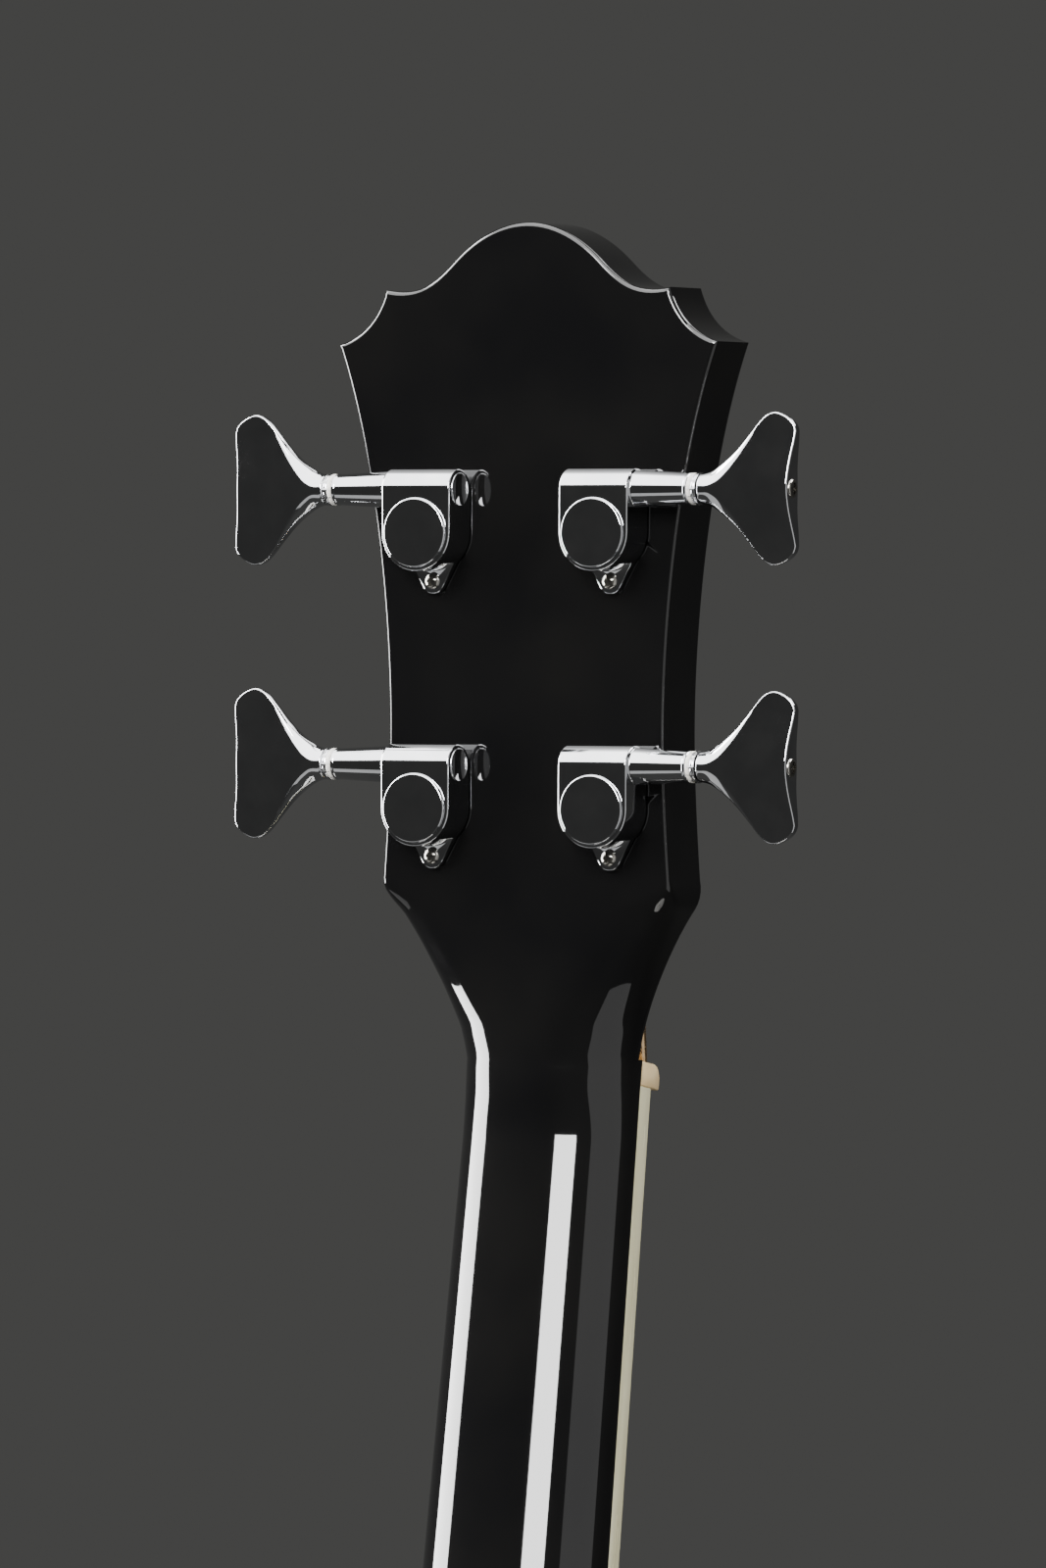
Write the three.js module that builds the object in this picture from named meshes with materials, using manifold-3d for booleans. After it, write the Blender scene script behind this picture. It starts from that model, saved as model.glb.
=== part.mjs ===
import * as THREE from 'three';
import { mergeVertices } from 'three/addons/utils/BufferGeometryUtils.js';
import Module from 'manifold-3d';

// Acoustic bass guitar, in millimetres. Z runs up the neck to the headstock, the strings and the
// soundboard face -Y, and the treble side with its cutaway is at +X. The origin is on the neck's
// centreline, in the plane of the soundboard, at the face of the nut that meets the fingerboard.

// Scale, neck and fingerboard
const scaleLength = 812.8;
const fretCount = 20;
const bodyFret = 15;
const semitonesPerOctave = 12;
const nutWidth = 45;
const fingerboardEndWidth = 59.7;
const fingerboardOverhang = 9;
const fingerboardEdge = 5.6;
const fingerboardCrown = 0.6;
const fretWidth = 2.4;
const fretHeight = 1.1;
const fretEmbed = 1.5;
const bindingWidth = 1.8;
const neckDepthNut = 15.5;
const neckDepthBody = 19;
const neckHeadBlend = 15;
const neckSquareness = 2.2;
const stringWidthShares = [-0.778, -0.258, 0.258, 0.778];

// Clearances
const seatGap = 0.3;
const runGap = 0.3;
const overrun = 5;
const mergeDistance = 1e-4;

// Nut
const nutThickness = 6;
const nutFrontHeight = 9.4;
const nutBackHeight = 6.8;
const nutShoulder = 2;

// Headstock
const headTilt = 9;
const headDrop = 1.3;
const headLength = 199;
const headHalfWidth = 51.3;
const headThickness = 16.5;
const headplateThickness = 1.7;

// Tuners: post places on the headstock, then the parts about the post axis
const postHalfSpread = 24;
const lowerPostShare = 0.3005;
const upperPostShare = 0.6294;
const postRadius = 6.35;
const postWaistRadius = 5.9;
const postHeight = 19;
const postSlotWidth = 3.2;
const postSlotDepth = 5;
const postSeat = 2;
const postEdge = 1;
const spindleRadius = 4;
const bushingRadius = 7.8;
const bushingDepth = 9;
const hexRadius = 9.8;
const hexHeight = 4;
const washerRadius = 10.5;
const washerHeight = 1;
const housingRadius = 9.2;
const housingHeight = 10.5;
const housingWall = 1.2;
const gearCapRadius = 8.35;
const gearCapHeight = 0.8;
const wormDistance = 10.25;
const wormHeight = 5.25;
const barrelRadius = 4.9;
const wormBoreRadius = 4.05;
const chamberRadius = 8;
const chamberDepth = 8.6;
const wheelTeeth = 20;
const wheelRootRadius = 6.25;
const wheelOuterRadius = 7.5;
const wheelPitchRadius = 7.2;
const wheelThickness = 5;
const wheelPhaseShare = 0.75;
const wormRootRadius = 2.4;
const wormOuterRadius = 3.6;
const wormLength = 9;
const threadFlatShare = 0.13;
const threadRampShare = 0.12;
const wormPitch = 2 * Math.PI * wheelPitchRadius / wheelTeeth;
const shaftRadius = 2.4;
const shaftTipRadius = 2;
const sleeveBaseRadius = 4.4;
const sleeveEndRadius = 3.7;
const sleeveEnd = 24;
const collarRadius = 3.8;
const collarThickness = 2.1;
const keyHalfSpan = 18;
const keyLength = 25.2;
const keyCentreThickness = 6;
const keyTipThickness = 2.2;
const keyBoreDepth = 12;
const earWidth = 13;
const earReach = 14.5;
const earTipRadius = 3;
const earThickness = 1.8;

// Strings, low to high
const stringDiameters = [2.6, 2.0, 1.65, 1.15];
const stringNames = ['e', 'a', 'd', 'g'];
const stringNutHeight = 8;
const stringSaddleHeight = 11.6;
const windTurnCount = 2.25;
const windGap = 0.5;
const windBase = 7.2;
const ballRadius = 2.5;
const ballLength = 4;

// Body outline
const bodyLength = 520;
const upperHalf = 147;
const waistHalf = 136;
const lowerHalf = 200;
const heelHalf = 29;
const upperShare = 0.171;
const waistShare = 0.421;
const lowerShare = 0.75;
const hornHalf = 145;
const hornShare = 0.219;
const hornTipX = 118;
const hornTipDrop = 55;
const cutX = 66;
const cutDrop = 97;
const cutSideX = 33;
const cutSideDrop = 59;
const quarterShare = 0.55;
const waistHandleShare = 0.42;
const hornHandleShare = 0.48;

// Body depth and plates
const bodyDepthNeck = 84;
const bodyDepthTail = 104;
const backArch = 8;
const topThickness = 3.2;
const backThickness = 2.8;
const sideThickness = 2.4;
const bodyBindingWidth = 2;
const bodyBindingDepth = 6;
const liningWidth = 6;
const liningDepth = 14;

// Soundhole and rosette
const soundholeDrop = 149;
const soundholeRadius = 50;
const rosetteInner = 57;
const rosetteOuter = 66;
const rosetteDepth = 1.2;

// Bridge, saddle and pins
const bridgeWidth = 150;
const bridgeLength = 40;
const bridgeHeight = 9;
const bridgeEndHeight = 4;
const bridgeWingShare = 0.62;
const saddleWidth = 82;
const saddleThickness = 3.2;
const saddleDepth = 6;
const saddleCrown = 1.5;
const saddleSpreadShare = 1.63;
const saddleFromFront = 11;
const pinFromSaddle = 19;
const pinHeadRadius = 3.9;
const pinHeadHeight = 3.6;
const pinRadius = 2.7;
const pinTipRadius = 2.3;
const pinLength = 23;
const bridgePlateWidth = 130;
const bridgePlateLength = 46;
const bridgePlateThickness = 3;

// Braces and blocks
const braceWidth = 8;
const braceHeight = 16;
const crossHalfReach = 108;
const crossShare = 0.3244;
const crossCaseGap = 8.3;
const transverseDrop = 85;
const transverseLength = 180;
const backBraceWidth = 9;
const backBraceHeight = 13;
const backBraceShares = [0.24, 0.5, 0.76];
const neckBlockWidth = 84;
const neckBlockLength = 56;
const tailBlockWidth = 76;
const tailBlockLength = 24;

// Truss rod
const rodRadius = 3;
const rodNutRadius = 4.6;
const rodNutLength = 9;
const rodAccessGap = 1;
const rodHeadInset = 24;
const rodTailDrop = 72;

// Heel
const heelCapThickness = 3;
const heelBaseHalf = 14;
const heelBaseLength = 17;
const heelTopLength = 62;
const heelSlimShare = 0.8;

// Strap button and end pin jack
const buttonRadius = 7;
const buttonNeckRadius = 4.2;
const buttonHeight = 13;
const buttonEdge = 1;
const endpinRadius = 8;
const endpinLength = 16;
const endpinBarrelRadius = 5.8;
const endpinBore = 3.3;
const endpinBarrelLength = 38;
const endpinHeight = 50;

// Electronics
const wheelRadius = 9;
const thumbThickness = 3;
const wheelSpacing = 24;
const wheelInset = 4;
const wheelCover = 4;
const axleRadius = 2;
const axleReach = 2;
const caseLength = 64;
const caseWidth = 21;
const caseDepth = 15;
const batteryWidth = 48.5;
const batteryDepth = 17.5;
const batteryLength = 26.5;
const batteryHeight = 58;
const stripThickness = 1;

// Facets
const outlineSteps = 6;
const coarseSteps = 12;
const roundSteps = 16;
const fineSteps = 26;
const smallSteps = 8;
const hexSides = 6;
const wallCorners = 4;
const tubeSides = 6;
const windSteps = 10;
const wormSteps = 8;
const wormRingsPerPitch = 6;
const crownSteps = 3;

// Places that follow from the sizes above
const fretZ = (n) => -scaleLength * (1 - 2 ** (-n / semitonesPerOctave));
const bodyTop = fretZ(bodyFret);
const bodyTail = bodyTop - bodyLength;
const boardEnd = fretZ(fretCount) - fingerboardOverhang;
const soundholeZ = bodyTop - soundholeDrop;
const saddleZ = -scaleLength - saddleThickness;
const pinZ = saddleZ - pinFromSaddle;
const bridgeFront = saddleZ + saddleFromFront;
const caseOuterX = soundholeRadius - wheelInset + wheelRadius / 2 + caseWidth;
const crossZ = bridgeFront + crossShare * (soundholeZ - bridgeFront);
const crossHalfRise = crossHalfReach * (soundholeZ - crossZ - caseLength / 2 - crossCaseGap) / caseOuterX;
const tilt = THREE.MathUtils.degToRad(headTilt);

const wasm = await Module();
wasm.setup();

// One closed mesh with shared corners, no flat triangles, and its faces pointing out
function closed(geometry) {
  const bare = geometry.clone();
  bare.deleteAttribute('normal');
  bare.deleteAttribute('uv');
  const merged = mergeVertices(bare, mergeDistance);
  const at = merged.getAttribute('position');
  const corner = (i) => new THREE.Vector3().fromBufferAttribute(at, i);
  const kept = [];
  let volume = 0;
  for (let i = 0; i < merged.index.count; i += 3) {
    const [a, b, c] = [0, 1, 2].map((k) => merged.index.getX(i + k));
    if (a === b || b === c || c === a) continue;
    kept.push(a, b, c);
    volume += corner(a).dot(corner(b).cross(corner(c)));
  }
  if (volume < 0) kept.reverse();
  merged.setIndex(kept);
  merged.computeVertexNormals();
  return merged;
}

function toSolid(geometry) {
  const clean = closed(geometry);
  const vertProperties = new Float32Array(clean.getAttribute('position').array);
  const triVerts = new Uint32Array(clean.index.array);
  return new wasm.Manifold(new wasm.Mesh({ numProp: 3, vertProperties, triVerts }));
}

function toGeometry(body) {
  const mesh = body.getMesh();
  const geometry = new THREE.BufferGeometry();
  const corners = new Float32Array(mesh.vertProperties);
  geometry.setAttribute('position', new THREE.BufferAttribute(corners, 3));
  geometry.setIndex(new THREE.BufferAttribute(new Uint32Array(mesh.triVerts), 1));
  geometry.computeVertexNormals();
  return geometry;
}

function join(first, ...others) {
  return toGeometry(others.reduce((body, other) => body.add(toSolid(other)), toSolid(first)));
}

function cut(first, ...others) {
  return toGeometry(others.reduce((body, other) => body.subtract(toSolid(other)), toSolid(first)));
}

// Simple solids by their limits
function block(x0, x1, y0, y1, z0, z1) {
  const box = new THREE.BoxGeometry(x1 - x0, y1 - y0, z1 - z0);
  return box.translate((x0 + x1) / 2, (y0 + y1) / 2, (z0 + z1) / 2);
}

function rodY(radius, y0, y1, x, z, steps = roundSteps, farRadius = radius) {
  const rod = new THREE.CylinderGeometry(farRadius, radius, y1 - y0, steps);
  return rod.translate(x, (y0 + y1) / 2, z);
}

function rodX(radius, x0, x1, y, z, steps = coarseSteps, farRadius = radius) {
  const rod = new THREE.CylinderGeometry(farRadius, radius, x1 - x0, steps);
  return rod.rotateZ(-Math.PI / 2).translate((x0 + x1) / 2, y, z);
}

function rodZ(radius, z0, z1, x, y, steps = coarseSteps, farRadius = radius) {
  const rod = new THREE.CylinderGeometry(farRadius, radius, z1 - z0, steps);
  return rod.rotateX(Math.PI / 2).translate(x, y, (z0 + z1) / 2);
}

// A revolved profile of (radius, height) pairs about the Y axis
function turned(profile, steps = roundSteps) {
  return new THREE.LatheGeometry(profile.map(([r, y]) => new THREE.Vector2(r, y)), steps);
}

// An outline of (x, y) points with thickness along Z
function extruded(outline, depth, holes = []) {
  const shape = new THREE.Shape(outline);
  shape.holes = holes.map((hole) => new THREE.Path(hole));
  return new THREE.ExtrudeGeometry(shape, { depth, bevelEnabled: false, steps: 1 });
}

// An outline of (x, z) points with thickness from y0 to y1
function sheet(outline, y0, y1, holes = []) {
  return extruded(outline, y1 - y0, holes).rotateX(Math.PI / 2).translate(0, y1, 0);
}

function circle(radius, x, z, steps = fineSteps) {
  return new THREE.Path().absarc(x, z, radius, 0, 2 * Math.PI).getPoints(steps).slice(0, -1);
}

function meshFrom(points, triangles) {
  const geometry = new THREE.BufferGeometry().setFromPoints(points);
  geometry.setIndex(triangles);
  return closed(geometry);
}

// A skin through rings of equal point count, capped at both ends
function loft(rings) {
  const count = rings[0].length;
  const points = rings.flat();
  const triangles = [];
  for (let r = 0; r + 1 < rings.length; r += 1) {
    for (let i = 0; i < count; i += 1) {
      const [a, b] = [r * count + i, r * count + (i + 1) % count];
      triangles.push(a, b, b + count, a, b + count, a + count);
    }
  }
  for (const r of [0, rings.length - 1]) {
    const middle = rings[r].reduce((sum, p) => sum.add(p), new THREE.Vector3()).divideScalar(count);
    const hub = points.push(middle) - 1;
    for (let i = 0; i < count; i += 1) {
      const [a, b] = [r * count + i, r * count + (i + 1) % count];
      triangles.push(...(r === 0 ? [hub, b, a] : [hub, a, b]));
    }
  }
  return meshFrom(points, triangles);
}

// A round tube along points, with one radius for each point
function tube(points, radii, sides = tubeSides) {
  const rings = [];
  let across = null;
  points.forEach((p, i) => {
    const before = points[Math.max(i - 1, 0)];
    const after = points[Math.min(i + 1, points.length - 1)];
    const along = after.clone().sub(before).normalize();
    if (!across) across = new THREE.Vector3(1, 0, 0);
    across.addScaledVector(along, -across.dot(along)).normalize();
    const up = along.clone().cross(across);
    const ring = [];
    for (let k = 0; k < sides; k += 1) {
      const angle = 2 * Math.PI * k / sides;
      const spoke = across.clone().multiplyScalar(Math.cos(angle)).addScaledVector(up, Math.sin(angle));
      ring.push(p.clone().addScaledVector(spoke, radii[i]));
    }
    rings.push(ring);
  });
  return loft(rings);
}

function mirrored(geometry) {
  return closed(geometry.clone().scale(-1, 1, 1));
}

// Body outline: cubic curves between the widest and narrowest places of the box
function bodyOutline() {
  const zAt = (share) => bodyTop - share * bodyLength;
  const path = new THREE.Path();
  let [px, pz] = [-heelHalf, bodyTop];
  path.moveTo(px, pz);
  // A quarter that starts level and ends upright, or the other way round
  const quarter = (x, z, startsLevel) => {
    const [dx, dz] = [x - px, z - pz];
    const [ax, az] = startsLevel ? [quarterShare * dx, 0] : [0, quarterShare * dz];
    const [bx, bz] = startsLevel ? [0, quarterShare * dz] : [quarterShare * dx, 0];
    path.bezierCurveTo(px + ax, pz + az, x - bx, z - bz, x, z);
    [px, pz] = [x, z];
  };
  const sweep = (x, z) => {
    const reach = waistHandleShare * (z - pz);
    path.bezierCurveTo(px, pz + reach, x, z - reach, x, z);
    [px, pz] = [x, z];
  };
  quarter(-upperHalf, zAt(upperShare), true);
  sweep(-waistHalf, zAt(waistShare));
  sweep(-lowerHalf, zAt(lowerShare));
  quarter(0, bodyTail, false);
  quarter(lowerHalf, zAt(lowerShare), true);
  sweep(waistHalf, zAt(waistShare));
  sweep(hornHalf, zAt(hornShare));
  quarter(hornTipX, bodyTop - hornTipDrop, false);
  const reach = hornHandleShare * (cutX - px);
  path.bezierCurveTo(px + reach, pz, cutX - reach, bodyTop - cutDrop, cutX, bodyTop - cutDrop);
  [px, pz] = [cutX, bodyTop - cutDrop];
  quarter(cutSideX, bodyTop - cutSideDrop, true);
  path.lineTo(heelHalf, bodyTop);
  return path.getPoints(outlineSteps);
}

// The outline moved inward by a distance, each corner along the mean of its two edges' normals
function inset(outline, distance) {
  const count = outline.length;
  return outline.map((p, i) => {
    const back = p.clone().sub(outline[(i + count - 1) % count]).normalize();
    const ahead = outline[(i + 1) % count].clone().sub(p).normalize();
    const normal = new THREE.Vector2(-back.y - ahead.y, back.x + ahead.x).normalize();
    const edge = new THREE.Vector2(-ahead.y, ahead.x);
    return p.clone().addScaledVector(normal, distance / normal.dot(edge));
  });
}

const outline = bodyOutline();

// Depth of the arched back, and of what lies a distance inside it
const backY = (x, z, under = 0) => bodyDepthNeck - under
  + (bodyDepthTail - bodyDepthNeck) * (bodyTop - z) / bodyLength
  + backArch * (1 - (x / lowerHalf) ** 2);

const heelDepth = backY(0, bodyTop) - heelCapThickness - seatGap;
const rodCentreY = topThickness + seatGap + rodNutRadius;

// A ring wall round the body between two insets, from a front depth to a back depth
function rim(outerInset, innerInset, frontOf, backOf) {
  const [outer, inner] = [inset(outline, outerInset), inset(outline, innerInset)];
  const points = [];
  outer.forEach((p, i) => {
    const q = inner[i];
    points.push(new THREE.Vector3(p.x, frontOf(p.x, p.y), p.y));
    points.push(new THREE.Vector3(q.x, frontOf(q.x, q.y), q.y));
    points.push(new THREE.Vector3(q.x, backOf(q.x, q.y), q.y));
    points.push(new THREE.Vector3(p.x, backOf(p.x, p.y), p.y));
  });
  const count = outer.length;
  const triangles = [];
  for (let i = 0; i < count; i += 1) {
    const [here, next] = [wallCorners * i, wallCorners * ((i + 1) % count)];
    for (let k = 0; k < wallCorners; k += 1) {
      const after = (k + 1) % wallCorners;
      const [a, b, c, d] = [here + k, here + after, next + after, next + k];
      triangles.push(a, b, c, a, c, d);
    }
  }
  return meshFrom(points, triangles);
}

const level = (y) => () => y;

// Box of the body
function soundboard() {
  const holes = [circle(soundholeRadius, 0, soundholeZ)];
  const board = sheet(inset(outline, bodyBindingWidth + seatGap), 0, topThickness, holes);
  const channel = cut(
    rodY(rosetteOuter + seatGap, -overrun, rosetteDepth + seatGap, 0, soundholeZ, fineSteps),
    rodY(rosetteInner - seatGap, -2 * overrun, 2 * overrun, 0, soundholeZ, fineSteps),
  );
  return cut(board, channel, ...pinHoles());
}

function rosette() {
  return cut(
    rodY(rosetteOuter, 0, rosetteDepth, 0, soundholeZ, fineSteps),
    rodY(rosetteInner, -overrun, overrun, 0, soundholeZ, fineSteps),
  );
}

// The truss rod's way out of the neck into the box
const rodRoom = () => block(-rodRadius - runGap, rodRadius + runGap, -overrun,
  rodCentreY + rodRadius + runGap, bodyTop - liningWidth - overrun, bodyTop + overrun);

const endpinRoom = () => rodZ(endpinBarrelRadius + seatGap, bodyTail - overrun,
  bodyTail + tailBlockLength + 2 * overrun, 0, endpinHeight);

const sides = () => cut(rim(0, sideThickness, level(bodyBindingDepth),
  (x, z) => backY(x, z, bodyBindingDepth + seatGap)), rodRoom(), endpinRoom());
const topBinding = () => cut(rim(0, bodyBindingWidth, level(0), level(bodyBindingDepth)), rodRoom());
const backBinding = () => rim(0, bodyBindingWidth, (x, z) => backY(x, z, bodyBindingDepth), backY);
const topLining = () => cut(rim(sideThickness + seatGap, sideThickness + liningWidth,
  level(topThickness), level(liningDepth)), rodRoom());
const backLining = () => rim(sideThickness + seatGap, sideThickness + liningWidth,
  (x, z) => backY(x, z, liningDepth), (x, z) => backY(x, z, backThickness + seatGap));

// The arched back: rings of the outline drawn in towards a point on the centreline
function backPlate() {
  const edge = inset(outline, bodyBindingWidth + seatGap);
  const centreZ = bodyTop - waistShare * bodyLength;
  const ringShares = [1, 0.68, 0.36, 0.03];
  const skin = (under) => ringShares.map((share) => edge.map((p) => {
    const [x, z] = [share * p.x, centreZ + share * (p.y - centreZ)];
    return new THREE.Vector3(x, backY(x, z, under), z);
  }));
  return loft([...skin(backThickness).reverse(), ...skin(0)]);
}

// A block trimmed to the sides and to the linings at the front and the back
function fitted(raw) {
  const wall = sideThickness + seatGap;
  const lining = sideThickness + liningWidth + seatGap;
  const back = (under) => (x, z) => backY(x, z, under);
  return cut(
    raw,
    rim(-overrun, wall, level(-overrun), back(-overrun)),
    rim(0, lining, level(-overrun), level(liningDepth + seatGap)),
    rim(0, lining, back(liningDepth + seatGap), back(-overrun)),
  );
}

function neckBlock() {
  const inner = bodyTop - sideThickness - seatGap;
  const half = neckBlockWidth / 2;
  const right = cutSideX - sideThickness - seatGap;
  const raw = block(-half, right, topThickness, backY(half, inner, backThickness + seatGap),
    inner - neckBlockLength, inner);
  const slot = block(-rodRadius - runGap, rodRadius + runGap, 0, rodCentreY + rodRadius + runGap,
    inner - neckBlockLength - overrun, inner + overrun);
  return cut(fitted(raw), slot);
}

function tailBlock() {
  const half = tailBlockWidth / 2;
  const outer = bodyTail + sideThickness + seatGap;
  const inner = outer + tailBlockLength;
  const raw = block(-half, half, topThickness, backY(half, inner, backThickness + seatGap), outer, inner);
  return cut(fitted(raw), endpinRoom());
}

// Braces
// The cross brace's legs pass outside the bridge plate
function crossBrace() {
  const arm = (side) => {
    const length = 2 * Math.hypot(crossHalfReach, crossHalfRise);
    const bar = block(-braceWidth / 2, braceWidth / 2, topThickness, topThickness + braceHeight,
      -length / 2, length / 2);
    return bar.rotateY(side * Math.atan2(crossHalfReach, crossHalfRise)).translate(0, 0, crossZ);
  };
  return join(arm(1), arm(-1));
}

function transverseBrace() {
  const z = bodyTop - transverseDrop;
  const right = cutSideX - sideThickness - liningWidth - seatGap;
  const bar = block(-transverseLength / 2, right, topThickness, topThickness + braceHeight,
    z - braceWidth / 2, z + braceWidth / 2);
  const access = rodZ(rodNutRadius + rodAccessGap, z - braceWidth, z + braceWidth, 0, rodCentreY);
  return cut(bar, access);
}

// Where an outline crosses a height on one side, nearest to the centreline
function crossing(points, z, side) {
  const found = [];
  points.forEach((p, i) => {
    const q = points[(i + 1) % points.length];
    if ((p.y - z) * (q.y - z) > 0 || p.y === q.y) return;
    found.push(p.x + (q.x - p.x) * (z - p.y) / (q.y - p.y));
  });
  return side * Math.min(...found.filter((x) => x * side > 0).map(Math.abs));
}

function backBrace(share) {
  const z = bodyTop - share * bodyLength;
  const inner = inset(outline, sideThickness + liningWidth + seatGap);
  const ends = [z - backBraceWidth / 2, z + backBraceWidth / 2];
  const left = Math.max(...ends.map((end) => crossing(inner, end, -1)));
  const right = Math.min(...ends.map((end) => crossing(inner, end, 1)));
  const rings = [];
  for (let i = 0; i <= coarseSteps / 2; i += 1) {
    const x = left + (right - left) * i / (coarseSteps / 2);
    const corners = [[0, backThickness + seatGap], [1, backThickness + seatGap],
      [1, backThickness + backBraceHeight], [0, backThickness + backBraceHeight]];
    rings.push(corners.map(([k, under]) => {
      const zz = z + (k - 1 / 2) * backBraceWidth;
      return new THREE.Vector3(x, backY(x, zz, under), zz);
    }));
  }
  return loft(rings);
}

// Bridge
const stringX = (i) => stringWidthShares[i] * nutWidth / 2;
const saddleX = (i) => stringX(i) * saddleSpreadShare;
const stringPinGap = (i) => pinHeadRadius + seatGap + stringDiameters[i] / 2;

// A hole for each pin with a slot towards the saddle for its string
function pinHoles() {
  return stringDiameters.flatMap((diameter, i) => {
    const half = diameter / 2 + seatGap;
    const x = saddleX(i);
    const [y0, y1] = [-bridgeHeight - overrun, topThickness + bridgePlateThickness + overrun];
    return [
      rodY(pinRadius + seatGap, y0, y1, x, pinZ, smallSteps),
      block(x - half, x + half, y0, y1, pinZ, pinZ + stringPinGap(i) + half),
    ];
  });
}

function bridge() {
  const half = bridgeWidth / 2;
  const profile = [
    new THREE.Vector2(-half, 0), new THREE.Vector2(half, 0),
    new THREE.Vector2(half, -bridgeEndHeight), new THREE.Vector2(bridgeWingShare * half, -bridgeHeight),
    new THREE.Vector2(-bridgeWingShare * half, -bridgeHeight), new THREE.Vector2(-half, -bridgeEndHeight),
  ];
  const bar = extruded(profile, bridgeLength);
  bar.translate(0, 0, bridgeFront - bridgeLength);
  const [slotHalf, slotGap] = [saddleWidth / 2 + seatGap, saddleThickness / 2 + seatGap];
  const slot = block(-slotHalf, slotHalf, -bridgeHeight - overrun, -bridgeHeight + saddleDepth,
    saddleZ - slotGap, saddleZ + slotGap);
  return cut(bar, slot, ...pinHoles());
}

function saddle() {
  const half = saddleWidth / 2;
  const floor = -bridgeHeight + saddleDepth - stripThickness - seatGap;
  const crown = [];
  for (let i = 0; i <= smallSteps; i += 1) {
    const x = half - 2 * half * i / smallSteps;
    const fall = saddleCrown * (x / half) ** 2;
    crown.push(new THREE.Vector2(x, -stringSaddleHeight + seatGap + fall));
  }
  const feet = [new THREE.Vector2(-half, floor), new THREE.Vector2(half, floor)];
  const bar = extruded([...feet, ...crown], saddleThickness);
  return closed(bar.translate(0, 0, saddleZ - saddleThickness / 2));
}

function pickupStrip() {
  const half = saddleWidth / 2;
  const floor = -bridgeHeight + saddleDepth;
  return block(-half, half, floor - stripThickness, floor,
    saddleZ - saddleThickness / 2, saddleZ + saddleThickness / 2);
}

function bridgePlate() {
  const slope = Math.atan2(crossHalfReach, crossHalfRise);
  const legWidth = (braceWidth / 2 + seatGap) / Math.cos(slope);
  const half = bridgePlateWidth / 2;
  const [low, high] = [pinZ - bridgePlateLength / 2, pinZ + bridgePlateLength / 2];
  const highHalf = Math.min(half, (crossZ - high) * Math.tan(slope) - legWidth);
  const shoulder = Math.max(low, Math.min(high, crossZ - (half + legWidth) / Math.tan(slope)));
  const right = [[half, low], [half, shoulder], [highHalf, high]].map(([x, z]) => new THREE.Vector2(x, z));
  const left = right.map((p) => new THREE.Vector2(-p.x, p.y)).reverse();
  const plate = sheet([...right, ...left], topThickness, topThickness + bridgePlateThickness);
  return cut(plate, ...pinHoles());
}

function bridgePin(i) {
  const top = -bridgeHeight - seatGap;
  const headProfileShares = [[0, 1], [0.6, 0.85], [1, 0.4], [0.9, 0]];
  const profile = [
    ...headProfileShares.map(([r, h]) => [r * pinHeadRadius, top - h * pinHeadHeight]),
    [pinRadius, top], [pinTipRadius, top + pinLength], [0, top + pinLength],
  ];
  return closed(turned(profile, smallSteps).translate(saddleX(i), 0, pinZ));
}

// Neck and headstock
const neckHalfAt = (z) => (nutWidth + (fingerboardEndWidth - nutWidth) * z / boardEnd) / 2;
const headShares = {
  flare: [[0.468, 0.06], [0.604, 0.136], [0.731, 0.181]],
  corner: [[0.772, 0.197], [0.756, 0.216]],
  waist: [[0.739, 0.276], [0.725, 0.342], [0.725, 0.392]],
  side: [[0.725, 0.533], [0.809, 0.724], [1, 0.856]],
  cove: [[0.809, 0.869], [0.749, 0.921]],
  ear: [[0.585, 0.9126], [0.497, 0.9266], [0.39, 0.9538]],
  crown: [[0.2885, 0.9794], [0.156, 1], [0, 1]],
};

const headPoint = ([x, v]) => new THREE.Vector2(x * headHalfWidth, v * headLength);

function headFlare() {
  const [a, b, c] = headShares.flare.map(headPoint);
  return new THREE.CubicBezierCurve(new THREE.Vector2(nutWidth / 2, 0), a, b, c);
}

function headOutline(fromFlare) {
  const path = new THREE.Path();
  const flare = headFlare();
  const [cornerControl, cornerEnd] = headShares.corner.map(headPoint);
  const [coveControl, coveEnd] = headShares.cove.map(headPoint);
  const [e1, e2, e3] = headShares.ear.map(headPoint);
  const [c1, c2, c3] = headShares.crown.map(headPoint);
  path.moveTo(flare.v3.x, flare.v3.y);
  path.quadraticCurveTo(cornerControl.x, cornerControl.y, cornerEnd.x, cornerEnd.y);
  for (const curve of [headShares.waist, headShares.side]) {
    const [a, b, c] = curve.map(headPoint);
    path.bezierCurveTo(a.x, a.y, b.x, b.y, c.x, c.y);
  }
  path.quadraticCurveTo(coveControl.x, coveControl.y, coveEnd.x, coveEnd.y);
  path.bezierCurveTo(e1.x, e1.y, e2.x, e2.y, e3.x, e3.y);
  path.bezierCurveTo(c1.x, c1.y, c2.x, c2.y, c3.x, c3.y);
  const right = path.getPoints(Math.ceil(outlineSteps / 2));
  if (fromFlare) right.unshift(...flare.getPoints(outlineSteps).slice(0, -1));
  const left = right.slice(0, -1).reverse().map((p) => new THREE.Vector2(-p.x, p.y));
  return [...right, ...left];
}

// Headstock axes: x across, w from the front face to the back, v up along it
function toHead(geometry) {
  return geometry.rotateX(-tilt).translate(0, headDrop, nutThickness);
}

function headVector(x, w, v) {
  return new THREE.Vector3(x, w, v).applyAxisAngle(new THREE.Vector3(1, 0, 0), -tilt)
    .add(new THREE.Vector3(0, headDrop, nutThickness));
}

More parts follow.
